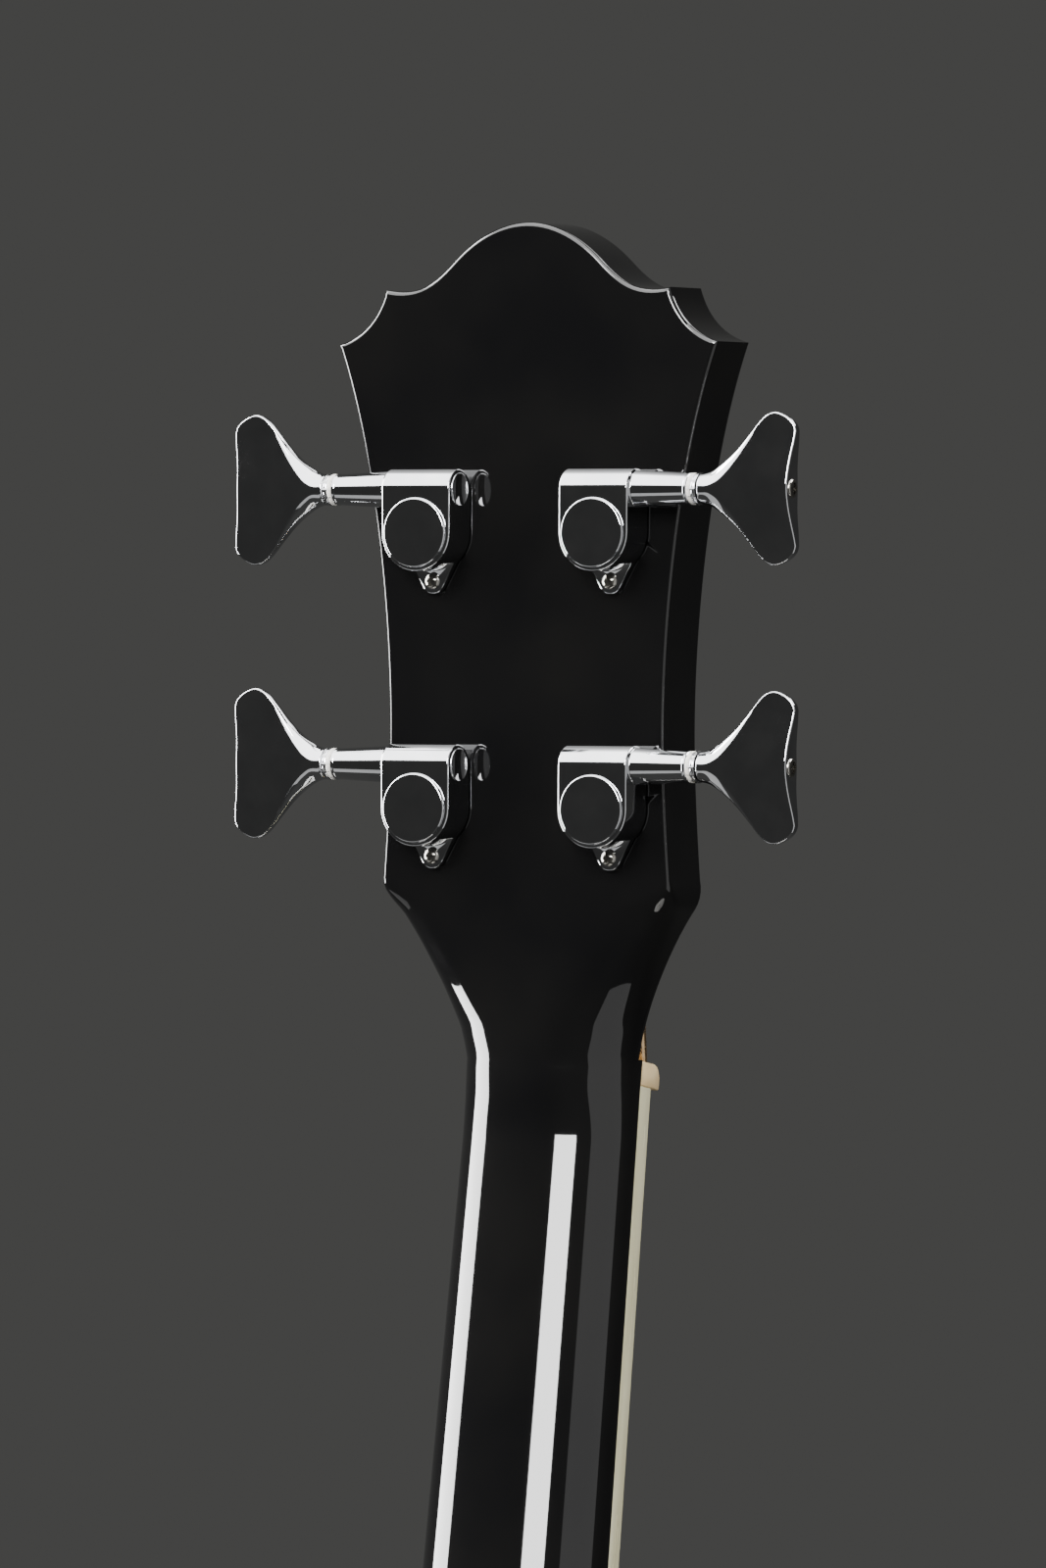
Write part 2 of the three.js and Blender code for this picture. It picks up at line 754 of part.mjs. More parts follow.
// One section of the neck: a flat front and a back that is rounder for a low squareness
function neckSection(half, depth, squareness, place) {
  const ring = [];
  for (let i = 0; i <= coarseSteps; i += 1) {
    const angle = Math.PI * i / coarseSteps;
    const [c, s] = [Math.cos(angle), Math.sin(angle)];
    const x = half * Math.sign(c) * Math.abs(c) ** (2 / squareness);
    ring.push(place(x, depth * Math.abs(s) ** (2 / squareness)));
  }
  return ring;
}

function neckRings() {
  const rings = [];
  const stations = 2;
  for (let i = 0; i <= stations; i += 1) {
    const z = bodyTop + (-neckHeadBlend - bodyTop) * i / stations;
    const share = (z + neckHeadBlend) / (bodyTop + neckHeadBlend);
    const depth = neckDepthNut + (neckDepthBody - neckDepthNut) * share;
    rings.push(neckSection(neckHalfAt(z), depth, neckSquareness, (x, y) => new THREE.Vector3(x, y, z)));
  }
  const flare = headFlare();
  const squareShares = [1.05, 1.12, 1.3, 1.6, 2, 2.5, 2.9];
  squareShares.forEach((share, i) => {
    const p = flare.getPoint(i / (squareShares.length - 1));
    const depth = headThickness + headDrop;
    rings.push(neckSection(p.x, depth, neckSquareness * share,
      (x, y) => headVector(x, y - headDrop, p.y)));
  });
  return rings;
}

const heelHalfAt = (y) => heelBaseHalf
  + (neckHalfAt(bodyTop) - heelBaseHalf) * (1 - y / heelDepth) ** heelSlimShare;

function heel() {
  const rings = [];
  const depth = heelDepth;
  const lengthShares = [1, 0.78, 0.55, 0.36, 0.16, 0.05, 0];
  const depthShares = [0.04, 0.12, 0.2, 0.32, 0.55, 0.8, 1];
  lengthShares.forEach((share, i) => {
    const y = depthShares[i] * depth;
    const long = heelBaseLength + share * (heelTopLength - heelBaseLength);
    const half = heelHalfAt(y);
    const ring = [];
    for (let k = 0; k <= coarseSteps; k += 1) {
      const angle = Math.PI * k / coarseSteps;
      ring.push(new THREE.Vector3(half * Math.cos(angle), y, bodyTop + long * Math.sin(angle)));
    }
    rings.push(ring);
  });
  return loft(rings);
}

function neck() {
  const head = toHead(sheet(headOutline(false), headplateThickness + seatGap, headThickness));
  const plateRoom = toHead(block(-headHalfWidth - overrun, headHalfWidth + overrun,
    -headThickness, headplateThickness + seatGap, 0, headLength + overrun));
  const channel = block(-rodRadius - runGap, rodRadius + runGap, -overrun,
    rodCentreY + rodRadius + runGap, bodyTop - overrun, -rodHeadInset + seatGap);
  const postHoles = tunerPlaces.map(({ x, v }) => toHead(
    rodY(bushingRadius + seatGap, -overrun, headThickness + overrun, x, v)));
  return cut(join(loft(neckRings()), heel(), head), plateRoom, channel, ...postHoles);
}

function headplate() {
  const holes = tunerPlaces.map(({ x, v }) => circle(bushingRadius + seatGap, x, v, roundSteps));
  return closed(sheet(headOutline(true), 0, headplateThickness, holes));
}

function heelCap() {
  const y0 = heelDepth + seatGap;
  const ring = [];
  for (let k = 0; k <= coarseSteps; k += 1) {
    const angle = Math.PI * k / coarseSteps;
    ring.push(new THREE.Vector2(heelBaseHalf * Math.cos(angle), bodyTop + heelBaseLength * Math.sin(angle)));
  }
  return closed(sheet(ring, y0, y0 + heelCapThickness));
}

function trussRod() {
  const y = rodCentreY;
  const end = bodyTop - rodTailDrop;
  const rod = rodZ(rodRadius, end, -rodHeadInset, 0, y);
  const nutEnd = rodZ(rodNutRadius, end, end + rodNutLength, 0, y, hexSides);
  return join(rod, nutEnd);
}

function fingerboardSection(z, half) {
  const ring = [new THREE.Vector3(half, 0, z), new THREE.Vector3(-half, 0, z)];
  for (let i = 0; i <= crownSteps; i += 1) {
    const x = -half + 2 * half * i / crownSteps;
    ring.push(new THREE.Vector3(x, -fingerboardEdge - fingerboardCrown * (1 - (x / half) ** 2), z));
  }
  return ring;
}

// The board with its frets seated in it; the frets follow the crown
function fingerboard() {
  const half = (z) => neckHalfAt(z) - bindingWidth - seatGap;
  const inner = boardEnd + bindingWidth + seatGap;
  const board = loft([fingerboardSection(inner, half(inner)), fingerboardSection(0, half(0))]);
  const frets = [];
  for (let n = 1; n <= fretCount; n += 1) {
    const rings = [-1, 1].map((end) => {
      const z = fretZ(n) + end * fretWidth / 2;
      return fingerboardSection(z, half(z)).map((p, i) => {
        if (i < 2) return new THREE.Vector3(p.x, -fingerboardEdge + fretEmbed, p.z);
        return new THREE.Vector3(p.x, p.y - fretHeight, p.z);
      });
    });
    frets.push(loft(rings));
  }
  return join(board, ...frets);
}

function fingerboardBinding() {
  const half = (z) => neckHalfAt(z) - bindingWidth;
  const inner = boardEnd + bindingWidth;
  const shape = [
    new THREE.Vector2(-neckHalfAt(0), 0), new THREE.Vector2(-neckHalfAt(boardEnd), boardEnd),
    new THREE.Vector2(neckHalfAt(boardEnd), boardEnd), new THREE.Vector2(neckHalfAt(0), 0),
    new THREE.Vector2(half(0), 0), new THREE.Vector2(half(inner), inner),
    new THREE.Vector2(-half(inner), inner), new THREE.Vector2(-half(0), 0),
  ];
  return closed(sheet(shape, -fingerboardEdge, 0));
}

function nut() {
  const profile = [
    new THREE.Vector2(0, 0), new THREE.Vector2(nutThickness, 0),
    new THREE.Vector2(nutThickness, -nutBackHeight),
    new THREE.Vector2(nutThickness - nutShoulder, -nutFrontHeight),
    new THREE.Vector2(0, -nutFrontHeight),
  ];
  const bar = extruded(profile, nutWidth);
  bar.rotateY(-Math.PI / 2).translate(nutWidth / 2, 0, 0);
  const slots = stringDiameters.map((diameter, i) => {
    const reach = diameter / 2 + seatGap;
    const y = -stringNutHeight - diameter / 2;
    const round = rodZ(reach, -overrun, nutThickness + overrun, stringX(i), y);
    return join(round, block(stringX(i) - reach, stringX(i) + reach, y - overrun, y,
      -overrun, nutThickness + overrun));
  });
  return cut(bar, ...slots);
}

// Tuners. Local axes start on the post axis at the headstock's back face: x points outward to
// the key, y out of the back face, z up along the headstock. The bass side is the mirror image.
const tunerPlaces = [
  { name: 'e', side: -1, v: lowerPostShare * headLength, string: 0 },
  { name: 'a', side: -1, v: upperPostShare * headLength, string: 1 },
  { name: 'd', side: 1, v: upperPostShare * headLength, string: 2 },
  { name: 'g', side: 1, v: lowerPostShare * headLength, string: 3 },
].map((place) => ({ ...place, x: place.side * postHalfSpread }));

function housing() {
  const lower = rodY(housingRadius, 0, housingHeight, 0, 0, roundSteps);
  const upper = block(-housingRadius, housingRadius, 0, housingHeight, 0, wormDistance);
  const barrel = rodX(barrelRadius, -housingRadius, housingRadius, wormHeight, wormDistance);
  const sleeve = rodX(sleeveBaseRadius, housingRadius - housingWall, sleeveEnd, wormHeight,
    wormDistance, coarseSteps, sleeveEndRadius);
  const cap = rodY(gearCapRadius, housingHeight - gearCapHeight, housingHeight + gearCapHeight, 0, 0);
  const tip = new THREE.Vector2(0, -earReach + earTipRadius);
  const earCorners = [[earWidth / 2, -housingRadius / 2], [earTipRadius, tip.y]]
    .map(([x, y]) => [new THREE.Vector2(-x, y), new THREE.Vector2(x, y)]);
  const ear = join(
    rodY(earTipRadius, 0, earThickness, tip.x, tip.y, coarseSteps),
    sheet([earCorners[0][0], earCorners[1][0], earCorners[1][1], earCorners[0][1]], 0, earThickness),
  );
  const shell = join(lower, upper, barrel, sleeve, cap, ear);
  const chamber = rodY(chamberRadius, -overrun, chamberDepth, 0, 0);
  const wormBore = rodX(wormBoreRadius, -housingRadius + housingWall, housingRadius - housingWall,
    wormHeight, wormDistance);
  const shaftBore = rodX(shaftRadius + runGap, 0, sleeveEnd + overrun, wormHeight, wormDistance);
  return cut(shell, chamber, wormBore, shaftBore);
}

function threadRadius(phase) {
  const distance = Math.abs(phase - Math.floor(phase) - 1 / 2);
  const slope = (threadFlatShare + threadRampShare - distance) / threadRampShare;
  const rise = THREE.MathUtils.clamp(slope, 0, 1);
  return wormRootRadius + (wormOuterRadius - wormRootRadius) * rise;
}

// The worm's thread is a bulge that climbs one pitch in each turn
function wormShaft() {
  const around = wormSteps;
  const count = Math.round(wormLength / wormPitch * wormRingsPerPitch);
  const rings = [];
  for (let r = 0; r <= count; r += 1) {
    const x = -wormLength / 2 + wormLength * r / count;
    const ring = [];
    for (let k = 0; k < around; k += 1) {
      const angle = 2 * Math.PI * k / around;
      const radius = r === 0 || r === count ? wormRootRadius : threadRadius(x / wormPitch - k / around);
      ring.push(new THREE.Vector3(x, wormHeight + radius * Math.cos(angle),
        wormDistance + radius * Math.sin(angle)));
    }
    rings.push(ring);
  }
  const shaftEnd = sleeveEnd + seatGap + collarThickness;
  return join(
    loft(rings),
    rodX(shaftRadius, 0, shaftEnd, wormHeight, wormDistance, wormSteps),
    rodX(collarRadius, sleeveEnd + seatGap, shaftEnd, wormHeight, wormDistance),
    rodX(shaftTipRadius, sleeveEnd, shaftEnd + keyBoreDepth - seatGap, wormHeight, wormDistance, wormSteps),
  );
}

// Fishtail key: sections across its span, each an oval from its neck edge to its outer edge
function key() {
  const start = sleeveEnd + collarThickness + 2 * seatGap;
  const spanShares = [0, 0.17, 0.26, 0.42, 0.66, 0.84, 0.96, 1];
  const innerShares = [0, 0, 0.2, 0.37, 0.52, 0.62, 0.7, 0.79];
  const outerShares = [0.944, 0.946, 0.952, 0.965, 0.993, 0.99, 0.9, 0.81];
  const section = (i, side) => {
    const v = side * spanShares[i] * keyHalfSpan;
    const [x0, x1] = [start + innerShares[i] * keyLength, start + outerShares[i] * keyLength];
    const thick = keyCentreThickness + (keyTipThickness - keyCentreThickness) * spanShares[i];
    const ring = [];
    for (let k = 0; k < smallSteps; k += 1) {
      const angle = 2 * Math.PI * k / smallSteps;
      const [c, s] = [Math.cos(angle), Math.sin(angle)];
      ring.push(new THREE.Vector3(
        (x0 + x1) / 2 + (x1 - x0) / 2 * Math.sign(c) * Math.abs(c) ** 0.6,
        wormHeight + thick / 2 * Math.sign(s) * Math.abs(s) ** 0.6,
        wormDistance + v,
      ));
    }
    return ring;
  };
  const order = spanShares.map((share, i) => i);
  const rings = [...order.slice(1).reverse().map((i) => section(i, -1)), ...order.map((i) => section(i, 1))];
  const bore = rodX(shaftTipRadius + seatGap, start - overrun, start + keyBoreDepth, wormHeight,
    wormDistance);
  return cut(loft(rings), bore);
}

// The worm wheel, its teeth slanted by the lead of the worm
function wheel() {
  const lead = Math.atan(wormPitch / (2 * Math.PI * (wormDistance - wheelPitchRadius)));
  const twist = wheelThickness / 2 * Math.tan(lead) / wheelPitchRadius;
  const toothShares = [[-0.3, 0], [0, 1], [0.3, 0]];
  const ringAt = (end) => {
    const ring = [];
    for (let n = 0; n < wheelTeeth; n += 1) {
      for (const [turnShare, rise] of toothShares) {
        const angle = 2 * Math.PI * (n + turnShare + wheelPhaseShare) / wheelTeeth + end * twist;
        const radius = wheelRootRadius + rise * (wheelOuterRadius - wheelRootRadius);
        ring.push(new THREE.Vector3(radius * Math.sin(angle), wormHeight + end * wheelThickness / 2,
          radius * Math.cos(angle)));
      }
    }
    return ring;
  };
  return loft([ringAt(-1), ringAt(1)]);
}

// The post stands through the headstock; its head is slotted across for the string
function post() {
  const front = -headThickness - 2 * seatGap;
  const [top, seat] = [front - postHeight, front - postSeat];
  const profile = [
    [0, top], [postRadius - postEdge, top], [postRadius, top + postEdge],
    [postRadius, top + postSlotDepth / 2],
    [postWaistRadius, top + postSlotDepth], [postWaistRadius, seat - postSeat], [postRadius, seat],
    [postRadius, seat + bushingDepth],
    [spindleRadius, seat + bushingDepth], [spindleRadius, chamberDepth - runGap], [0, chamberDepth - runGap],
  ];
  const slot = block(-postRadius - overrun, postRadius + overrun, top - overrun, top + postSlotDepth,
    -postSlotWidth / 2, postSlotWidth / 2);
  const hole = rodY(postSlotWidth / 2 + runGap, top - overrun, top + 2 * postSlotDepth, 0, 0, smallSteps);
  return cut(join(turned(profile, coarseSteps), wheel()), slot, hole);
}

function bushing() {
  const front = -headThickness - 2 * seatGap;
  const hex = rodY(hexRadius, front - washerHeight - hexHeight, front - washerHeight, 0, 0, hexSides);
  const washer = rodY(washerRadius, front - washerHeight, front, 0, 0);
  const barrel = rodY(bushingRadius, front - washerHeight, front + bushingDepth, 0, 0);
  const bore = rodY(postRadius + runGap, front - 2 * overrun, front + bushingDepth + overrun, 0, 0);
  return cut(join(hex, washer, barrel), bore);
}

// Strings: wound on the post from its head down, over the nut and saddle, down beside the pin
function windRoute(i) {
  const { side, v } = tunerPlaces[i];
  const radius = stringDiameters[i] / 2;
  const centre = new THREE.Vector2(side * postHalfSpread, v);
  const reach = postRadius + runGap + radius;
  const away = new THREE.Vector2(stringX(i), -nutThickness).sub(centre);
  const tangent = Math.atan2(away.y, away.x) - side * Math.acos(reach / away.length());
  const steps = Math.round(windTurnCount * windSteps);
  const pitch = stringDiameters[i] + windGap;
  const points = [];
  for (let k = 0; k <= steps; k += 1) {
    const turn = (steps - k) / windSteps;
    const angle = tangent + side * 2 * Math.PI * turn;
    points.push(headVector(centre.x + reach * Math.cos(angle), -windBase - pitch * turn - radius,
      centre.y + reach * Math.sin(angle)));
  }
  return points;
}

function leastTurnGap(points, diameter) {
  let least = Infinity;
  for (let a = 0; a < points.length; a += 1) {
    for (let b = a + windSteps / 2; b < points.length; b += 1) {
      least = Math.min(least, points[a].distanceTo(points[b]) - diameter);
    }
  }
  return least;
}

function string(i) {
  const diameter = stringDiameters[i];
  const radius = diameter / 2;
  const wind = windRoute(i);
  const turnGap = leastTurnGap(wind, diameter).toFixed(2);
  console.log(`string ${stringNames[i]}: least gap between turns ${turnGap} mm`);
  const nutY = -stringNutHeight - radius;
  const saddleY = -stringSaddleHeight - radius;
  const [x0, x1] = [stringX(i), saddleX(i)];
  const dropZ = pinZ + stringPinGap(i);
  const ballTop = topThickness + bridgePlateThickness + 2 * seatGap;
  const route = [
    ...wind,
    new THREE.Vector3(x0, nutY, nutThickness),
    new THREE.Vector3(x0, nutY, 0),
    new THREE.Vector3(x1, saddleY, saddleZ + saddleThickness / 2),
    new THREE.Vector3(x1, saddleY, saddleZ - saddleThickness / 2),
    new THREE.Vector3(x1, -bridgeHeight - radius - seatGap, dropZ + radius),
    new THREE.Vector3(x1, -bridgeHeight + radius, dropZ),
    new THREE.Vector3(x1, ballTop, dropZ),
    new THREE.Vector3(x1, ballTop + radius, dropZ),
    new THREE.Vector3(x1, ballTop + ballLength, dropZ),
  ];
  const radii = route.map((p, k) => (k >= route.length - 2 ? ballRadius : radius));
  return tube(route, radii);
}

// Fittings
function strapButton() {
  const y = heelDepth / 2;
  const wall = heelHalfAt(y);
  const profile = [[0, 0], [buttonRadius - buttonEdge, 0], [buttonNeckRadius, buttonHeight / 2],
    [buttonRadius, buttonHeight - 2 * buttonEdge], [buttonRadius - buttonEdge, buttonHeight],
    [0, buttonHeight]];
  return closed(turned(profile, coarseSteps).rotateZ(-Math.PI / 2)
    .translate(wall + seatGap, y, bodyTop + heelBaseLength / 2));
}

function endpinJack() {
  const face = bodyTail - seatGap;
  const rimProfileShares = [[1, 1], [1, 0.8], [0.7, 0.62], [0.7, 0.3], [1.2, 0.12], [1.2, 0]];
  const profile = [
    [endpinBore, -endpinLength],
    ...rimProfileShares.map(([r, h]) => [r * endpinRadius, -h * endpinLength]),
    [endpinBarrelRadius, 0], [endpinBarrelRadius, endpinBarrelLength],
    [endpinBore, endpinBarrelLength], [endpinBore, -endpinLength],
  ];
  return closed(turned(profile).rotateX(Math.PI / 2).translate(0, endpinHeight, face));
}

function preampParts() {
  const wheelX = -soundholeRadius + wheelInset - wheelRadius;
  const y0 = topThickness + seatGap;
  const wheelFront = y0 + wheelCover;
  const wheelBack = wheelFront + thumbThickness;
  const wheelAt = [-1, 1].map((k) => soundholeZ + k * wheelSpacing / 2);
  const axle = (z, grow) => rodY(axleRadius + grow, wheelFront - axleReach - grow,
    wheelBack + axleReach + grow, wheelX, z, smallSteps);
  const body = block(wheelX - caseWidth + wheelRadius / 2, wheelX + wheelRadius / 2, y0, y0 + caseDepth,
    soundholeZ - caseLength / 2, soundholeZ + caseLength / 2);
  const pockets = wheelAt.flatMap((z) => [
    rodY(wheelRadius + 2 * runGap, wheelFront - runGap, wheelBack + runGap, wheelX, z),
    axle(z, runGap),
  ]);
  const thumb = (z) => join(rodY(wheelRadius, wheelFront, wheelBack, wheelX, z, roundSteps), axle(z, 0));
  return { body: cut(body, ...pockets), volume: thumb(wheelAt[1]), tone: thumb(wheelAt[0]) };
}

function battery() {
  const z = bodyTop - sideThickness - seatGap - neckBlockLength;
  const half = batteryWidth / 2;
  return block(-half, half, batteryHeight, batteryHeight + batteryDepth, z - batteryLength, z);
}

// Finishes
const finish = {
  lacquer: new THREE.MeshStandardMaterial({ color: 0x0b0b0d, roughness: 0.12, metalness: 0 }),
  ivory: new THREE.MeshStandardMaterial({ color: 0xd7d2b4, roughness: 0.35, metalness: 0 }),
  bone: new THREE.MeshStandardMaterial({ color: 0xdec8a5, roughness: 0.4, metalness: 0 }),
  rosewood: new THREE.MeshStandardMaterial({ color: 0x2c1c14, roughness: 0.6, metalness: 0 }),
  spruce: new THREE.MeshStandardMaterial({ color: 0xcfa874, roughness: 0.7, metalness: 0 }),
  mahogany: new THREE.MeshStandardMaterial({ color: 0x6b3f26, roughness: 0.7, metalness: 0 }),
  chrome: new THREE.MeshStandardMaterial({ color: 0xd0d2d6, roughness: 0.08, metalness: 1 }),
  bronze: new THREE.MeshStandardMaterial({ color: 0xb07a45, roughness: 0.35, metalness: 1 }),
  steel: new THREE.MeshStandardMaterial({ color: 0x9a9ca0, roughness: 0.3, metalness: 1 }),
  plastic: new THREE.MeshStandardMaterial({ color: 0x151515, roughness: 0.5, metalness: 0 }),
};

const guitar = new THREE.Group();

function place(name, geometry, material, parent = guitar) {
  const mesh = new THREE.Mesh(closed(geometry), finish[material]);
  mesh.name = name;
  parent.add(mesh);
  return mesh;
}

place('soundboard', soundboard(), 'lacquer');
place('rosette', rosette(), 'ivory');
place('sides', sides(), 'lacquer');
place('back_plate', backPlate(), 'lacquer');
place('top_binding', topBinding(), 'ivory');
place('back_binding', backBinding(), 'ivory');
place('top_lining', topLining(), 'mahogany');
place('back_lining', backLining(), 'mahogany');
place('neck_block', neckBlock(), 'mahogany');
place('tail_block', tailBlock(), 'mahogany');
place('cross_brace', crossBrace(), 'spruce');
place('transverse_brace', transverseBrace(), 'spruce');
backBraceShares.forEach((share, i) => {
  place(`back_brace_${['upper', 'middle', 'lower'][i]}`, backBrace(share), 'spruce');
});
place('bridge', bridge(), 'rosewood');
place('saddle', saddle(), 'bone');
place('pickup_strip', pickupStrip(), 'steel');
place('bridge_plate', bridgePlate(), 'spruce');
place('neck', neck(), 'lacquer');
place('heel_cap', heelCap(), 'ivory');
place('truss_rod', trussRod(), 'steel');
place('fingerboard', fingerboard(), 'rosewood');
place('fingerboard_binding', fingerboardBinding(), 'ivory');
place('nut', nut(), 'bone');
place('heel_strap_button', strapButton(), 'chrome');
place('endpin_jack', endpinJack(), 'chrome');
const preamp = preampParts();
place('preamp_case', preamp.body, 'plastic');
place('volume_wheel', preamp.volume, 'plastic');
place('tone_wheel', preamp.tone, 'plastic');
place('battery', battery(), 'plastic');
stringNames.forEach((name, i) => {
  place(`bridge_pin_${name}`, bridgePin(i), 'plastic');
  place(`string_${name}`, string(i), 'bronze');
});

const head = new THREE.Group();
head.position.set(0, headDrop, nutThickness);
head.rotation.x = -tilt;
guitar.add(head);
place('headplate', headplate(), 'lacquer', head);

const tunerForms = {
  housing: housing(), worm_shaft: wormShaft(), key: key(), post: post(), bushing: bushing(),
};
for (const { name, side, x, v } of tunerPlaces) {
  const tuner = new THREE.Group();
  tuner.position.set(x, headThickness + seatGap, v);
  head.add(tuner);
  for (const [form, geometry] of Object.entries(tunerForms)) {
    const material = form === 'worm_shaft' ? 'steel' : 'chrome';
    place(`${form}_${name}`, side > 0 ? geometry : mirrored(geometry), material, tuner);
  }
}

export default guitar;
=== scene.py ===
import math

import bmesh
import bpy
from mathutils import Matrix, Vector


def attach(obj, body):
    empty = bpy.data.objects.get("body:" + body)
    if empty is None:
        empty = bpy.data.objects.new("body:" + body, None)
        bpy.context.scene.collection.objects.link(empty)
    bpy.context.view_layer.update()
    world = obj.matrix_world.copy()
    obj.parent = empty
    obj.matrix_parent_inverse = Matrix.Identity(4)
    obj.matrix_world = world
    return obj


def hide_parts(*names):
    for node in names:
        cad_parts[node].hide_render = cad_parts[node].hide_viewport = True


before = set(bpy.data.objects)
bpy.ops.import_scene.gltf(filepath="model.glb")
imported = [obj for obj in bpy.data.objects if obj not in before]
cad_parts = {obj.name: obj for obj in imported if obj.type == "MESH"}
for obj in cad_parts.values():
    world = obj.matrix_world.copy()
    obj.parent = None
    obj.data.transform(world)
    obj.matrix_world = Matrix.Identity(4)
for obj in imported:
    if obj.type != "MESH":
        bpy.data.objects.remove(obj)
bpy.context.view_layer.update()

# Acoustic bass guitar. Sizes are in millimetres and become metres in build_mesh. The axes are the
# frame's own: Z up the neck, -Y out of the soundboard, +X the treble side, origin at the nut.
METRE = 0.001
# Points of a turned form that are closer than this become one
WELD = 0.001
# The shortest edge that is kept, in metres
SLIVER = 1e-7
TINY = 1e-9
# How far a cutting tool runs past a piece
OVERRUN = 5
DEEP_CUT = 20
# The gap between two pieces that touch
SNUG = 0.02

# Headstock, nut and neck
HEAD_TILT = math.radians(9)
HEAD_DROP = 1.3
HEAD_LENGTH = 199
HEAD_HALF = 51.3
HEAD_THICKNESS = 16.5
HEADPLATE = 1.7
NUT_WIDTH = 45
NUT_THICKNESS = 6
NECK_DEPTH_NUT = 15.5
NECK_DEPTH_BODY = 19
NECK_BLEND = 15
NECK_POWER = 2.2
SCALE_LENGTH = 812.8
OCTAVE = 12
FRET_COUNT = 20
BODY_FRET = 15
BOARD_END_WIDTH = 59.7
BOARD_OVERHANG = 9
BOARD_EDGE = 5.6
BOARD_CROWN = 0.6
BINDING_WIDTH = 1.8
SEAT_GAP = 0.3

# Tuners, about the post's axis
POST_SPREAD = 24
POST_SHARES = (0.3005, 0.6294)
HOUSING_RADIUS = 9.2
HOUSING_HEIGHT = 10.5
CAP_RADIUS = 8.35
CAP_HEIGHT = 0.8
WORM_DISTANCE = 10.25
WORM_HEIGHT = 5.25
BARREL_RADIUS = 4.9
SLEEVE_BASE = 4.4
SLEEVE_TIP = 3.7
SLEEVE_END = 24
COLLAR_RADIUS = 3.8
COLLAR_LENGTH = 2.1
EAR_WIDTH = 13
EAR_REACH = 14.5
EAR_TIP_RADIUS = 3
EAR_THICKNESS = 1.8
POST_RADIUS = 6.35
POST_WAIST = 5.9
BUSHING_RADIUS = 7.8


def fret_z(n):
    return -SCALE_LENGTH * (1 - 2 ** (-n / OCTAVE))


BODY_TOP = fret_z(BODY_FRET)
BOARD_END = fret_z(FRET_COUNT) - BOARD_OVERHANG


# Mesh helpers
def cos_of(degrees):
    return math.cos(math.radians(degrees))


def sin_of(degrees):
    return math.sin(math.radians(degrees))


def rod(radius, low, high):
    """The profile of a plain cylinder between two heights."""
    return [(0, low), (radius, low), (radius, high), (0, high)]


def lifted(profile, height, radius=0):
    """A profile whose pairs are counted from a radius and a height."""
    return [(radius + r, height + h) for r, h in profile]


def plain(x, y, z):
    return (x, y, z)


def upright(x, z, y):
    return (x, y, z)


def build_mesh(name, points, faces, smooth_angle=40, weld=0.0):
    """A closed mesh object from points in millimetres, with sharp edges above an angle in degrees."""
    mesh = bpy.data.meshes.new(name)
    bm = bmesh.new()
    made = [bm.verts.new(Vector(p) * METRE) for p in points]
    for face in faces:
        corners = [made[i] for i in face]
        if len(set(corners)) == len(corners):
            bm.faces.new(corners)
    if weld:
        bmesh.ops.remove_doubles(bm, verts=bm.verts, dist=weld * METRE)
    bmesh.ops.dissolve_degenerate(bm, edges=bm.edges, dist=SLIVER)
    bmesh.ops.recalc_face_normals(bm, faces=bm.faces)
    bm.to_mesh(mesh)
    bm.free()
    thing = bpy.data.objects.new(name, mesh)
    bpy.context.scene.collection.objects.link(thing)
    shade(thing, smooth_angle)
    return thing


def shade(thing, angle=40):
    mesh = thing.data
    for polygon in mesh.polygons:
        polygon.use_smooth = True
    mesh.set_sharp_from_angle(angle=math.radians(angle))


def loft(rings, caps=True, closed_path=False):
    """Points and faces of a skin through rings of equal point count."""
    count = len(rings[0])
    points = [p for ring in rings for p in ring]
    faces = []
    steps = len(rings) if closed_path else len(rings) - 1
    for r in range(steps):
        here, there = r * count, (r + 1) % len(rings) * count
        for i in range(count):
            j = (i + 1) % count
            faces.append((here + i, here + j, there + j, there + i))
    if caps and not closed_path:
        faces.append(tuple(reversed(range(count))))
        faces.append(tuple(range((len(rings) - 1) * count, len(rings) * count)))
    return points, faces


def turned(profile, steps, place):
    """A solid of revolution: (radius, height) pairs, closed at a radius of zero or back to its start."""
    hollow = profile[0][0] > 0
    rings = []
    for radius, height in profile:
        ring = []
        for k in range(steps):
            angle = math.tau * k / steps
            ring.append(place(radius * math.cos(angle), height, radius * math.sin(angle)))
        rings.append(ring)
    return loft(rings, caps=False, closed_path=hollow)


def modifier(thing, kind, **values):
    made = thing.modifiers.new(kind.lower(), kind)
    for key, value in values.items():
        setattr(made, key, value)
    return made


def bevelled(thing, width, segments=4, angle=40):
    """Rounds the edges that turn by more than an angle, and keeps the flat faces flat in shading."""
    modifier(thing, "BEVEL", width=width * METRE, segments=segments, limit_method="ANGLE",
             angle_limit=math.radians(angle), harden_normals=True, use_clamp_overlap=True)
    return apply_all(thing)


def apply_all(thing):
    bpy.context.view_layer.update()
    graph = bpy.context.evaluated_depsgraph_get()
    mesh = bpy.data.meshes.new_from_object(thing.evaluated_get(graph))
    thing.modifiers.clear()
    thing.data = mesh
    return thing


def boolean(thing, tool, operation="DIFFERENCE"):
    modifier(thing, "BOOLEAN", object=tool, operation=operation, solver="EXACT")
    apply_all(thing)
    data = tool.data
    bpy.data.objects.remove(tool)
    bpy.data.meshes.remove(data)
    return thing


